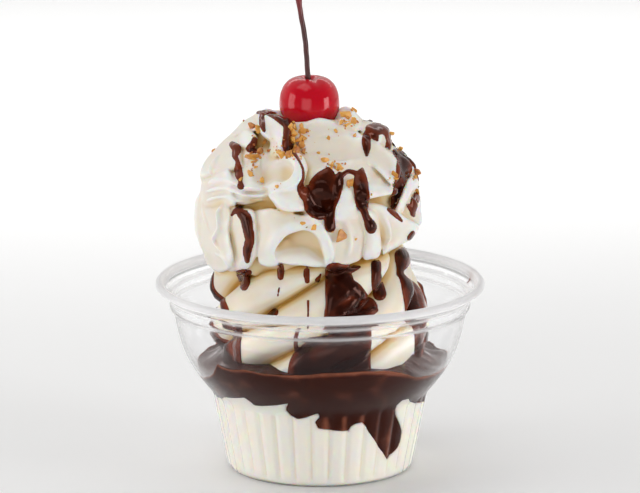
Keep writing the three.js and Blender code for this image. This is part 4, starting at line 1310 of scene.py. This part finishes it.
# runs of fudge by the azimuth they are seen from: how thick each lies, and its points (across, down, width)
DRIZZLE = {
    0: [
        (.8, [(362.5, 169, 4), (361, 175, 11), (361, 184, 16), (362, 192, 16)]),
        (1.5, [
            (361.5, 186, 10), (362.5, 196, 15), (362.5, 204, 13), (364.5, 211, 8), (367.5, 219, 8),
            (371, 226, 12), (371.5, 229, 10),
        ]),
        (.8, [(328.5, 169, 5), (328, 175, 15), (325, 183, 26), (323, 190, 32)]),
        (1.8, [(322, 192, 20), (320.5, 198, 29), (320, 204, 30), (320.5, 208, 24)]),
        (1.4, [(308, 190, 10), (309, 200, 11), (310.5, 208, 12), (315, 213, 11), (321, 214, 11)]),
        (1.2, [(340, 175, 7), (338, 184, 12), (335, 194, 13), (332, 203, 12)]),
        (1.7, [(332.5, 200, 10), (330, 211, 11), (330, 221, 11), (330.5, 227, 11)]),
        (1.0, [
            (288, 117, 5), (289, 124, 10), (288.5, 138, 12), (288.5, 148, 11), (294, 153, 5),
            (299, 160, 3.4), (303, 169, 3), (303.5, 178, 3.2), (301, 187, 7), (305, 194, 12),
            (313, 200, 14),
        ]),
        (1.2, [
            (240, 207, 5), (240.5, 212, 9), (246, 218, 12), (248.5, 230, 11), (250, 240, 10),
            (247.5, 251, 9), (247.5, 261, 5),
        ]),
        (1.0, [(232, 215, 3), (237, 210, 6), (242, 212, 6), (247, 211, 3)]),
        (.9, [
            (233, 145, 8), (237, 149, 10), (235.5, 156, 7), (238, 161.5, 5), (238.5, 168, 8),
            (239.5, 175, 9), (240.5, 181, 5), (241, 186, 8),
        ]),
        (1.0, [(255, 139, 6), (254, 144, 8), (250, 149, 8), (256, 151, 6)]),
        (1.0, [(262, 117, 6), (262.5, 124, 7), (264.5, 131, 4)]),
        (1.0, [(258, 112, 5), (268, 113, 6), (277, 117, 8), (284, 122, 9), (290, 127, 9)]),
        (1.1, [(367, 132, 5), (366.5, 138, 9), (367, 146, 9), (367, 155, 4)]),
        (.6, [(369, 128, 8), (375, 129, 14), (382, 128.5, 13), (388, 131, 11)]),
        (.6, [(388.5, 132, 9), (389.5, 140, 8), (388.5, 147, 7)]),
        (.6, [(370, 131, 9), (375, 136, 9), (378, 141, 3)]),
        (1.0, [
            (397, 152, 9), (404, 158, 14), (404.5, 167, 17), (402, 178, 13), (398, 190, 10.5),
            (395, 202, 8.5), (392.5, 212, 4),
        ]),
        (.8, [(400, 151, 6), (408, 153, 7), (416, 162, 6), (421, 170, 5), (423.5, 178, 4)]),
        (.9, [(423, 178, 4), (421, 188, 6), (416.5, 196, 9), (414, 206, 8), (413, 214, 5)]),
        (.8, [(341, 177, 5), (348, 171.5, 5), (356, 173.5, 6), (360, 178, 6)]),
        (.8, [(389, 209, 5), (395, 214, 6), (402, 221, 3)]),
        (.9, [(413, 233, 5), (410, 238, 6)]),
        (.7, [(238.5, 273, 6), (243.5, 273, 8), (249.5, 272.5, 6)]),
        (.8, [(243.5, 276, 12), (245, 281, 12), (244.5, 287, 8)]),
        (.9, [(281, 267, 7), (281, 272, 8), (281, 277, 7)]),
        (.9, [(307, 269, 6), (307, 275, 7.5), (307.5, 281, 6)]),
        (.8, [(321, 274, 3), (317.5, 280, 6)]),
        (.6, [(279.5, 288, 3), (278, 296, 3)]),
        (.6, [(308.5, 301, 3), (308.5, 312, 3), (308, 322, 3)]),
        (.9, [(275, 312, 8), (270, 317, 8)]),
        (1.4, [
            (333, 271, 16), (337, 275, 24), (340, 284, 30), (338, 294, 26), (333, 304, 15), (331, 312, 13),
            (330, 322, 14),
        ]),
        (1.3, [(340, 271, 14), (352, 269, 8), (360, 267, 3)]),
        (1.3, [(348, 285, 16), (356, 291, 16), (364, 299, 12)]),
        (1.0, [(338, 312, 26), (352, 310, 28), (366, 306, 20), (374, 307, 9)]),
        (2.3, [(337, 316, 9), (352, 314, 10), (366, 310.5, 9), (374, 308, 7)]),
        (1.1, [(337, 322, 16), (352, 319, 10), (366, 316, 8), (376, 310, 6)]),
        (1.1, [(376.5, 264.5, 11), (376.5, 271, 11), (377, 281, 12), (379, 290, 14), (380, 294, 14)]),
        (1.2, [(403.5, 256, 18), (403, 262, 15), (401, 268, 9), (400, 274, 7)]),
        (1.1, [(400, 273, 6), (405, 281, 10), (411, 291, 18), (415, 302, 22), (416, 312, 22)]),
        (1.0, [(417, 312, 18), (419, 328, 13), (420, 345, 12), (421, 362, 16), (423, 372, 22)]),
        (1.3, [(350, 320, 42), (350, 338, 44), (345, 352, 52), (338, 364, 66), (330, 374, 84)]),
        (1.0, [(240, 318, 8), (238, 334, 9), (237, 350, 9), (237, 366, 12)]),
        (.8, [(300, 320, 5), (296, 340, 5), (300, 356, 7), (306, 366, 9)]),
        (.9, [(408, 205, 4), (414, 216, 3)]),
    ],
    90: [
        (1.3, [(322, 168, 6), (324, 178, 9), (322, 190, 11), (325, 204, 7)]),
        (1.2, [(345, 132, 5), (352, 146, 9), (349, 166, 8), (353, 184, 5)]),
        (1.3, [
            (372, 262, 10), (374, 284, 14), (378, 298, 20), (377, 320, 16), (370, 345, 22), (364, 368, 50),
        ]),
        (1.2, [(336, 314, 12), (334, 330, 12), (332, 362, 34)]),
    ],
    180: [
        (1.4, [
            (270, 122, 6), (276, 140, 14), (271, 160, 18), (276, 182, 15), (272, 200, 10), (273, 214, 9),
        ]),
        (1.4, [
            (333, 120, 5), (340, 138, 15), (338, 158, 20), (342, 176, 13), (340, 196, 8), (341, 206, 9),
        ]),
        (1.1, [(378, 130, 6), (382, 148, 9), (380, 168, 7), (383, 186, 6)]),
        (1.3, [
            (268, 262, 14), (270, 282, 12), (266, 300, 20), (274, 324, 16), (270, 350, 36), (274, 370, 60),
        ]),
        (1.2, [(352, 264, 9), (350, 286, 12), (356, 304, 9), (353, 318, 6)]),
        (1.2, [(392, 262, 10), (396, 284, 13), (390, 306, 18), (392, 336, 16), (388, 366, 40)]),
    ],
    -90: [
        (1.3, [(232, 150, 6), (234, 160, 9), (238, 172, 15), (240, 184, 10), (238, 196, 8)]),
        (1.2, [(266, 156, 5), (264, 166, 8), (267, 178, 10), (266, 192, 6)]),
        (1.1, [
            (358, 316, 8), (366, 320, 12), (372, 325, 13), (373, 335, 13), (370, 356, 22), (369, 379, 34),
        ]),
        (1.3, [
            (298, 302, 8), (302, 310, 14), (310, 322, 18), (312, 336, 18), (318, 352, 34), (318, 370, 60),
        ]),
    ],
}
SMEAR = ((102.5, 58.8), (105.5, 63.0))  # azimuth and height of its two ends
SMEAR_WIDTH = 1.5
EDGE_ROUND = 3.6  # over this distance the fudge's edge rounds down to the surface
CREASE_FILL = 1.0  # fudge evens out creases of about this size
BEHIND = 2.6  # a run goes on this far behind the nearest surface
SHELL = 3.2  # fudge is looked for this near to the dairy's surface
UNCOVERED = -9.0  # distance from an outline where no run is near
UNDERNEATH = 0.7  # how far fudge goes into the dairy
SAG = 0.14  # how uneven its top is
RUN_SOFT = 0.25
RUN_MARGIN = 8  # steps round a run's line within which it is worked out


def cells(across, down):
    """Cells of the look-up that places of a view fall in."""
    places = zip((across, down), VIEW_CELLS)
    return tuple(np.clip((steps / VIEW_CELL).astype(int), 0, count - 1) for steps, count in places)


def nearest_depth(points, azimuth):
    """Depth of the nearest surface at each cell of a view."""
    across, down, depth = in_view(*points.T, azimuth)
    near = np.full(VIEW_CELLS, 1e6)
    np.minimum.at(near, cells(across, down), depth)
    return near


def lying(inside, thick):
    """Height of a run of fudge at a distance inside its outline."""
    share = np.clip(inside / EDGE_ROUND, 0, 1)
    return 0.97 * thick * np.maximum(1 - (1 - share) ** 2, 0) ** 0.6


def one_run(across, down, thick, points):
    """Where a run of fudge is near in a view, and its height there, below zero outside its outline."""
    line = through(points, VIEW_CELL)
    margin = line[:, 2].max() / 2 + RUN_MARGIN
    low, high = line[:, :2].min(0) - margin, line[:, :2].max(0) + margin
    close = np.nonzero((across > low[0]) & (across < high[0]) & (down > low[1]) & (down < high[1]))[0]
    across, down = across[close], down[close]
    best = np.full(len(close), UNCOVERED)
    for start, end in zip(line, line[1:]):
        share, gap = to_segment(across, down, start, end)
        inside = (start[2] + (end[2] - start[2]) * share) / 2 - gap
        best = np.maximum(best, inside * VIEW_STEP)
    return close, np.where(best > 0, lying(best, thick), best)


def drizzle_cover(x, y, z, skin_points):
    """Height of the fudge over each point, below zero outside every outline."""
    cover = np.full(len(x), UNCOVERED)
    for azimuth, runs in DRIZZLE.items():
        across, down, depth = in_view(x, y, z, azimuth)
        near = nearest_depth(skin_points, azimuth)
        shown = depth < near[cells(across, down)] + BEHIND
        across, down = across[shown], down[shown]
        local = np.full(len(across), UNCOVERED)
        for run in runs:
            close, height = one_run(across, down, *run)
            local[close] = blend_max(local[close], height, RUN_SOFT)
        cover[shown] = np.maximum(cover[shown], local)
    return cover + SAG * ripple(x, y, z, 5.0, 21) * smooth_step(cover, 0.4, 1.0)


def drizzle_field(dairy_block, skin_points):
    """Field of all runs of fudge that lie on the dairy's surface."""
    dairy_field = dairy_block.field
    shell = np.abs(dairy_field) < SHELL
    cover = drizzle_cover(*(axis[i] for axis, i in zip(dairy_block.axes, np.nonzero(shell))), skin_points)
    height = dairy_field[shell]
    evened = blurred(dairy_field, CREASE_FILL / dairy_block.step)[shell]
    body = height + (evened - height) * smooth_step(cover, 0.0, 0.7)
    film = np.where(cover > 0, body - cover, np.hypot(np.maximum(height, 0), cover))
    made = np.full(dairy_field.shape, 3.0, np.float32)
    made[shell] = np.maximum(film, -height - UNDERNEATH)
    return made


# ---------------------------------------------------------------- making the dairy and its drizzle

SWIRL_BOX = ((-44, -42, 36.5), (40, 42, 79))
CREAM_BOX = ((-46, -43, 64), (42, 43, 126))
DAIRY_BOX = ((-46, -43, 36.5), (42, 43, 126))
FOLD_DEPTH_REACH = 3.2
SERVE_TRIANGLES, DRIZZLE_TRIANGLES, CREAM_TRIANGLES = 150000, 190000, 190000


def fold_depth(block):
    """How much material is round each grid point, for the painted light on crests and painted shade in
    folds.
    """
    inside = 1 - smooth_step(block.field, -block.step, block.step)
    return blurred(inside, FOLD_DEPTH_REACH / block.step)


def dressed(name, node, block, material, both, depth, triangles):
    """Piece of dairy made from its field, with how much dairy surrounds each point stored on it, for its
    painted light and shade.
    """
    obj = piece(name, *block.mesh(), material)
    points = thin_out(obj, triangles)
    mark(obj, "hollow", both.sample(depth, points))
    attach(obj, "root")
    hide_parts(node)


def make_drizzle(both):
    drizzle = Block(*DAIRY_BOX, STEP)
    drizzle.field = drizzle_field(both, both.mesh()[0])
    run = piece("fudge_drizzle", *drizzle.mesh(), FUDGE)
    points = thin_out(run, DRIZZLE_TRIANGLES)
    mark(run, "thick", np.clip(both.sample(both.field, points) / 1.15, 0, 1))
    mark(run, "wet", np.ones(len(points)))
    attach(run, "root")


def make_dairy():
    """Makes the swirl, the fudge on it and the cream, and returns the block that holds the dairy."""
    swirl, cream, both = (Block(*box, STEP) for box in (SWIRL_BOX, CREAM_BOX, DAIRY_BOX))
    swirl.field = swirl_field(swirl)
    cream.field = cream_field(cream)
    for part in (swirl, cream):
        part.even_out()
        start = np.rint((part.low - both.low) / STEP).astype(int)
        cut = tuple(slice(a, a + n) for a, n in zip(start, part.field.shape))
        both.field[cut] = np.minimum(both.field[cut], part.field)
    # how much dairy surrounds each point, for the painted light on crests and painted shade in folds
    depth = fold_depth(both)
    dressed(
        "soft_serve_lobes", "soft_serve_swirl", swirl, SOFT_SERVE, both, depth, SERVE_TRIANGLES
    )
    make_drizzle(both)
    dressed(
        "whipped_cream_folds", "whipped_cream", cream, WHIPPED, both, depth, CREAM_TRIANGLES
    )
    return both


def make_smear():
    """Small smear of fudge on the inside of the cup's flare."""
    (azimuth_low, low), (azimuth_high, high) = SMEAR
    rings = []
    for share in np.linspace(-0.98, 0.98, 24):
        swell = math.sqrt(1 - share * share)
        z = (low + high) / 2 + (high - low) / 2 * share
        azimuth = (azimuth_low + azimuth_high) / 2 + (azimuth_high - azimuth_low) / 2 * share
        azimuth += 0.35 * math.sin(5 * share)
        wall = outer_radius(z) - WALL
        ring = []
        for turn in np.arange(20) * math.pi / 10:
            across = SMEAR_WIDTH / 2 * swell * math.sin(turn)
            out = math.cos(turn) * (0.12 if math.cos(turn) > 0 else 0.45 * swell)
            ring.append(polar(azimuth + math.degrees(across / wall), wall + out, z))
        rings.append(ring)
    points, faces = rings_mesh(rings)
    smear = piece("fudge_smear", points, faces, FUDGE)
    mark(smear, "thick", np.full(len(points), 0.25))
    mark(smear, "wet", np.ones(len(points)))
    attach(smear, "root")


# ---------------------------------------------------------------- nuts

# chopped nuts by the azimuth they are seen from: (across, down, size in millimetres)
NUTS = {
    0: [
        (252, 156, 5.2), (259, 150, 3.4), (251, 126, 4.0), (257, 129, 3.4), (263, 141, 2.2),
        (249, 172, 3.2), (262, 179, 3), (291, 127, 3.4), (297, 126, 3.2), (303, 125, 3), (294, 132, 3.8),
        (301, 131, 3.4), (307, 129, 2.2), (293, 139, 3.6), (300, 138, 3.8), (305, 136, 2.6),
        (295, 145, 3.8), (302, 144, 3.2), (298, 150, 3.8), (304, 150, 2.6), (283, 153, 3.6),
        (289, 153, 3.2), (277, 152, 2.2), (268, 149, 1.6), (342, 236, 5), (351, 181, 4.2), (346, 114, 4.2),
        (355, 120, 3.2), (349, 125, 3.6), (337, 129, 2), (356, 133, 2), (343, 121, 2.2), (326, 159, 3.2),
        (341, 166, 3.4), (334, 163, 2.2), (318, 151, 1.8), (397, 174, 3.6), (398, 179, 2.2),
        (418, 172, 3.6), (417, 177, 2.2), (303, 221, 1.8), (312, 229, 2.4), (275, 186, 1.8),
        (330, 136, 1.8), (358, 240, 1.2), (372, 192, 1), (240, 178, 2.2), (256, 165, 1.8),
    ],
    90: [
        (342, 120, 3.2), (350, 150, 3.4), (362, 134, 2.6), (372, 176, 3), (335, 168, 2.8), (335, 214, 3),
        (322, 150, 2.4),
    ],
    180: [
        (300, 122, 3.4), (322, 150, 3.2), (360, 134, 3.4), (352, 190, 3), (290, 186, 2.8), (250, 160, 3),
        (300, 232, 2.8),
    ],
    -90: [
        (292, 118, 3.2), (286, 142, 3), (268, 154, 3), (284, 180, 2.8), (254, 160, 2.4), (270, 226, 2.8),
        (252, 196, 2.6),
    ],
}
CRUMBS_A_NUT = 2
CRUMB_SHARE, CRUMB_SIZE = (0.18, 0.36), (0.7, 1.6)  # as shares of their nut, and in heaps in millimetres
NUT_CORNERS = 11
NUT_SHAPE = np.array([1.15, 0.95, 0.78])  # length, width and height as shares of a nut's size
NUT_LOOKUP = 2.6  # steps round a nut's place in which the nearest surface is looked for
# heaps of fine crumbs seen from the front: (across, down, spread across, spread down, how many)
CRUMB_HEAPS = [
    (297, 137, 5.5, 8, 60), (284, 153, 4, 1.6, 12), (347, 118, 5, 4, 16), (253, 157, 4, 5, 14),
    (336, 164, 6, 2, 8),
]


def chopped(size, place, out, rng):
    """Angular crumb: the hull of a few random points, flattened a little and turned at random."""
    shape = bmesh.new()
    corners = rng.normal(size=(NUT_CORNERS, 3))
    corners /= np.linalg.norm(corners, axis=1)[:, None]
    corners *= size / 2 * NUT_SHAPE * rng.uniform(0.82, 1.08, (NUT_CORNERS, 1))
    turn, _ = np.linalg.qr(rng.normal(size=(3, 3)))
    corners = corners @ turn.T + place + out * size * 0.12
    for corner in corners:
        shape.verts.new(corner)
    hull = bmesh.ops.convex_hull(shape, input=shape.verts)
    loose = [v for v in hull["geom_interior"] if isinstance(v, bmesh.types.BMVert)]
    bmesh.ops.delete(shape, geom=loose, context="VERTS")
    edges = list(shape.edges)
    bmesh.ops.bevel(shape, geom=edges, offset=size * 0.06, segments=1, affect="EDGES", clamp_overlap=True)
    bmesh.ops.triangulate(shape, faces=shape.faces)
    shape.verts.index_update()
    points = [tuple(v.co) for v in shape.verts]
    faces = [tuple(v.index for v in f.verts) for f in shape.faces]
    shape.free()
    return points, faces


def wanted_nuts(azimuth, rng):
    """Nuts of one view with the crumbs round them and in heaps, as (across, down, size)."""
    wanted = list(NUTS[azimuth])
    for across, down, size in NUTS[azimuth]:
        for _ in range(CRUMBS_A_NUT):
            beside, below = rng.normal(0, 5), rng.normal(0, 4)
            wanted.append((across + beside, down + below, size * rng.uniform(*CRUMB_SHARE)))
    if azimuth == 0:
        for across, down, spread_across, spread_down, count in CRUMB_HEAPS:
            for _ in range(count):
                place = rng.normal(across, spread_across), rng.normal(down, spread_down)
                wanted.append((*place, rng.uniform(*CRUMB_SIZE)))
    return wanted


def make_nuts(both):
    rng = np.random.default_rng(21)
    skin_points, _ = both.mesh()
    slopes = np.gradient(both.field, both.step)
    points, faces, toast = [], [], []
    for azimuth in NUTS:
        across, down, depth = in_view(*skin_points.T, azimuth)
        for nut_across, nut_down, size in wanted_nuts(azimuth, rng):
            here = np.nonzero(np.hypot(across - nut_across, down - nut_down) < NUT_LOOKUP)[0]
            if not len(here):
                continue
            place = skin_points[here[np.argmin(depth[here])]]
            out = np.array([both.sample(s, place[None])[0] for s in slopes])
            out /= np.linalg.norm(out) + 1e-6
            crumb, sides = chopped(size, place, out, rng)
            faces += [tuple(i + len(points) for i in f) for f in sides]
            points += crumb
            toast += [rng.beta(1.2, 2.6)] * len(crumb)
    nuts = piece("chopped_nuts", points, faces, NUT, smooth=False)
    mark(nuts, "toast", toast)
    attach(nuts, "root")


# ---------------------------------------------------------------- cherry and stem

# side of the cherry as (radius, height) shares of its own radius, with the dimple the stem comes out of
CHERRY_SIDE = [
    (0.1, -0.965), (0.36, -0.91), (0.66, -0.74), (0.88, -0.44), (0.985, -0.08), (1.0, 0.14), (0.965, 0.42),
    (0.86, 0.68), (0.7, 0.86), (0.52, 0.955), (0.36, 0.975), (0.22, 0.93), (0.1, 0.86), (0.03, 0.83),
]
CHERRY_COLUMNS, STEM_COLUMNS = 96, 20
CHERRY_CREASE = 24  # azimuth of the shallow crease below the dimple


def make_cherry():
    rings = []
    for reach, rise in through([(a, 0, b) for a, b in CHERRY_SIDE], 0.035)[:, [0, 2]]:
        ring = []
        for j in range(CHERRY_COLUMNS):
            azimuth = 360 * j / CHERRY_COLUMNS
            uneven = 1 + 0.012 * math.sin(math.radians(2 * azimuth + 50))
            uneven += 0.008 * math.sin(math.radians(3 * azimuth))
            place = polar(azimuth, CHERRY_RADIUS * reach * uneven, 0)
            beside = (azimuth - CHERRY_CREASE + 180) % 360 - 180
            crease = math.exp(-(beside / 16) ** 2) * max(rise, 0) ** 2 * 0.6
            place[2] = CHERRY_RADIUS * rise - crease
            ring.append(place + CHERRY_MIDDLE)
        rings.append(ring)
    points, faces = rings_mesh(rings)
    fruit = piece("cherry_fruit", points, faces, CHERRY)
    height = np.array(points)[:, 2] - CHERRY_MIDDLE[2]
    # painted shade: darker towards the bottom of the cherry
    mark(fruit, "low", 1 - smooth_step(height, -8.0, 2.0))
    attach(fruit, "root")
    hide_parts("cherry")


STEM_RADIUS, STEM_END_RADIUS = 0.85, 1.6


def make_stem():
    top = STEM_HIGH[2]
    x = CHERRY_MIDDLE[0]
    bends = [(x - 0.4, 0, STEM_LOW[2]), (x - 1.4, 0, 143), (x - 3.1, 0.4, 153), (x - 4.4, 0.8, top - 0.4)]
    line = through(bends, 0.6)
    rings = []
    for k, place in enumerate(line):
        share = k / (len(line) - 1)
        thicker = (STEM_END_RADIUS - STEM_RADIUS) * float(smooth_step(share, 0.72, 0.97))
        reach = STEM_RADIUS * (1 + 0.25 * math.exp(-share / 0.04)) + thicker
        if share > 0.985:
            reach *= 0.72
        ring = []
        for j in range(STEM_COLUMNS):
            azimuth = 360 / STEM_COLUMNS * j
            knob = 1 + 0.06 * math.sin(math.radians(3 * azimuth + 200 * share))
            knob += 0.04 * math.sin(40 * share + j)
            ring.append(polar(azimuth, reach * knob, 0) + place)
        rings.append(ring)
    points, faces = rings_mesh(rings)
    stalk = piece("cherry_stalk", points, faces, STEM)
    height = np.array(points)[:, 2]
    mark(stalk, "rise", smooth_step(height, top - 16, top - 4))
    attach(stalk, "root")
    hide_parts("cherry_stem")


# ---------------------------------------------------------------- floor, light and camera

def make_stage():
    size = 4000
    corners = [(-size, -size, 0), (size, -size, 0), (size, size, 0), (-size, size, 0)]
    material, nodes, surface = new_material("studio_floor")
    pale, greyer = (0.93, 0.93, 0.93, 1), (0.91, 0.91, 0.912, 1)
    tone = nodes.use(UNEVEN_TONE, Scale=2.0, Amount=0.3, Base=pale, Other=greyer)
    nodes.put(surface.inputs["Base Color"], tone["Color"])
    settle(surface, Roughness=0.6)
    floor = piece("studio_floor", corners, [(0, 1, 2, 3)], material)


def soft_lamp(name, place, aim, width, height, power):
    light = bpy.data.lights.new(name, "AREA")
    light.shape = "RECTANGLE"
    light.size, light.size_y, light.energy = width * MM, height * MM, power
    lamp = bpy.data.objects.new(name, light)
    bpy.context.scene.collection.objects.link(lamp)
    lamp.location = Vector(place) * MM
    lamp.rotation_euler = (Vector(aim) - Vector(place)).to_track_quat("-Z", "Y").to_euler()


def make_light():
    world = bpy.data.worlds.new("studio")
    world.use_nodes = True
    nodes = Nodes(world.node_tree)
    sky = world.node_tree.nodes["Background"]
    sky.inputs["Color"].default_value = (1.0, 0.99, 0.975, 1)
    parts = nodes.add("ShaderNodeSeparateXYZ")
    nodes.put(parts.inputs[0], nodes.add("ShaderNodeTexCoord").outputs["Generated"])
    nodes.put(sky.inputs["Strength"], nodes.ramp(parts.outputs["Y"], -0.4, 0.5, 0.20, 0.62))
    bpy.context.scene.world = world
    aim = (0, 0, 80)
    soft_lamp("key", (-720, -180, 210), aim, 340, 420, 1.35)
    soft_lamp("fill", (690, -280, 150), aim, 300, 420, 2.3)
    soft_lamp("front", (-200, -690, 190), aim, 480, 380, 1.05)
    soft_lamp("top", (-200, -130, 830), aim, 560, 480, 1.45)
    soft_lamp("backdrop", (0, 600, 500), (0, 800, 0), 1200, 400, 4.0)
    bpy.context.scene.view_settings.view_transform = "Standard"


def make_camera():
    data = bpy.data.cameras.new("camera")
    data.sensor_width = 36.0
    data.lens = data.sensor_width * VIEW_DISTANCE / (VIEW_WIDTH_STEPS * VIEW_STEP)
    data.clip_start, data.clip_end = 0.05, 30.0
    camera = bpy.data.objects.new("camera", data)
    bpy.context.scene.collection.objects.link(camera)
    camera.location = Vector(EYE) * MM
    camera.rotation_mode = "QUATERNION"
    camera.rotation_quaternion = Vector(FORWARD).to_track_quat("-Z", "Y")
    bpy.context.scene.camera = camera


make_camera()
make_cup()
make_contents()
DAIRY = make_dairy()
make_smear()
make_nuts(DAIRY)
make_cherry()
make_stem()
make_stage()
make_light()
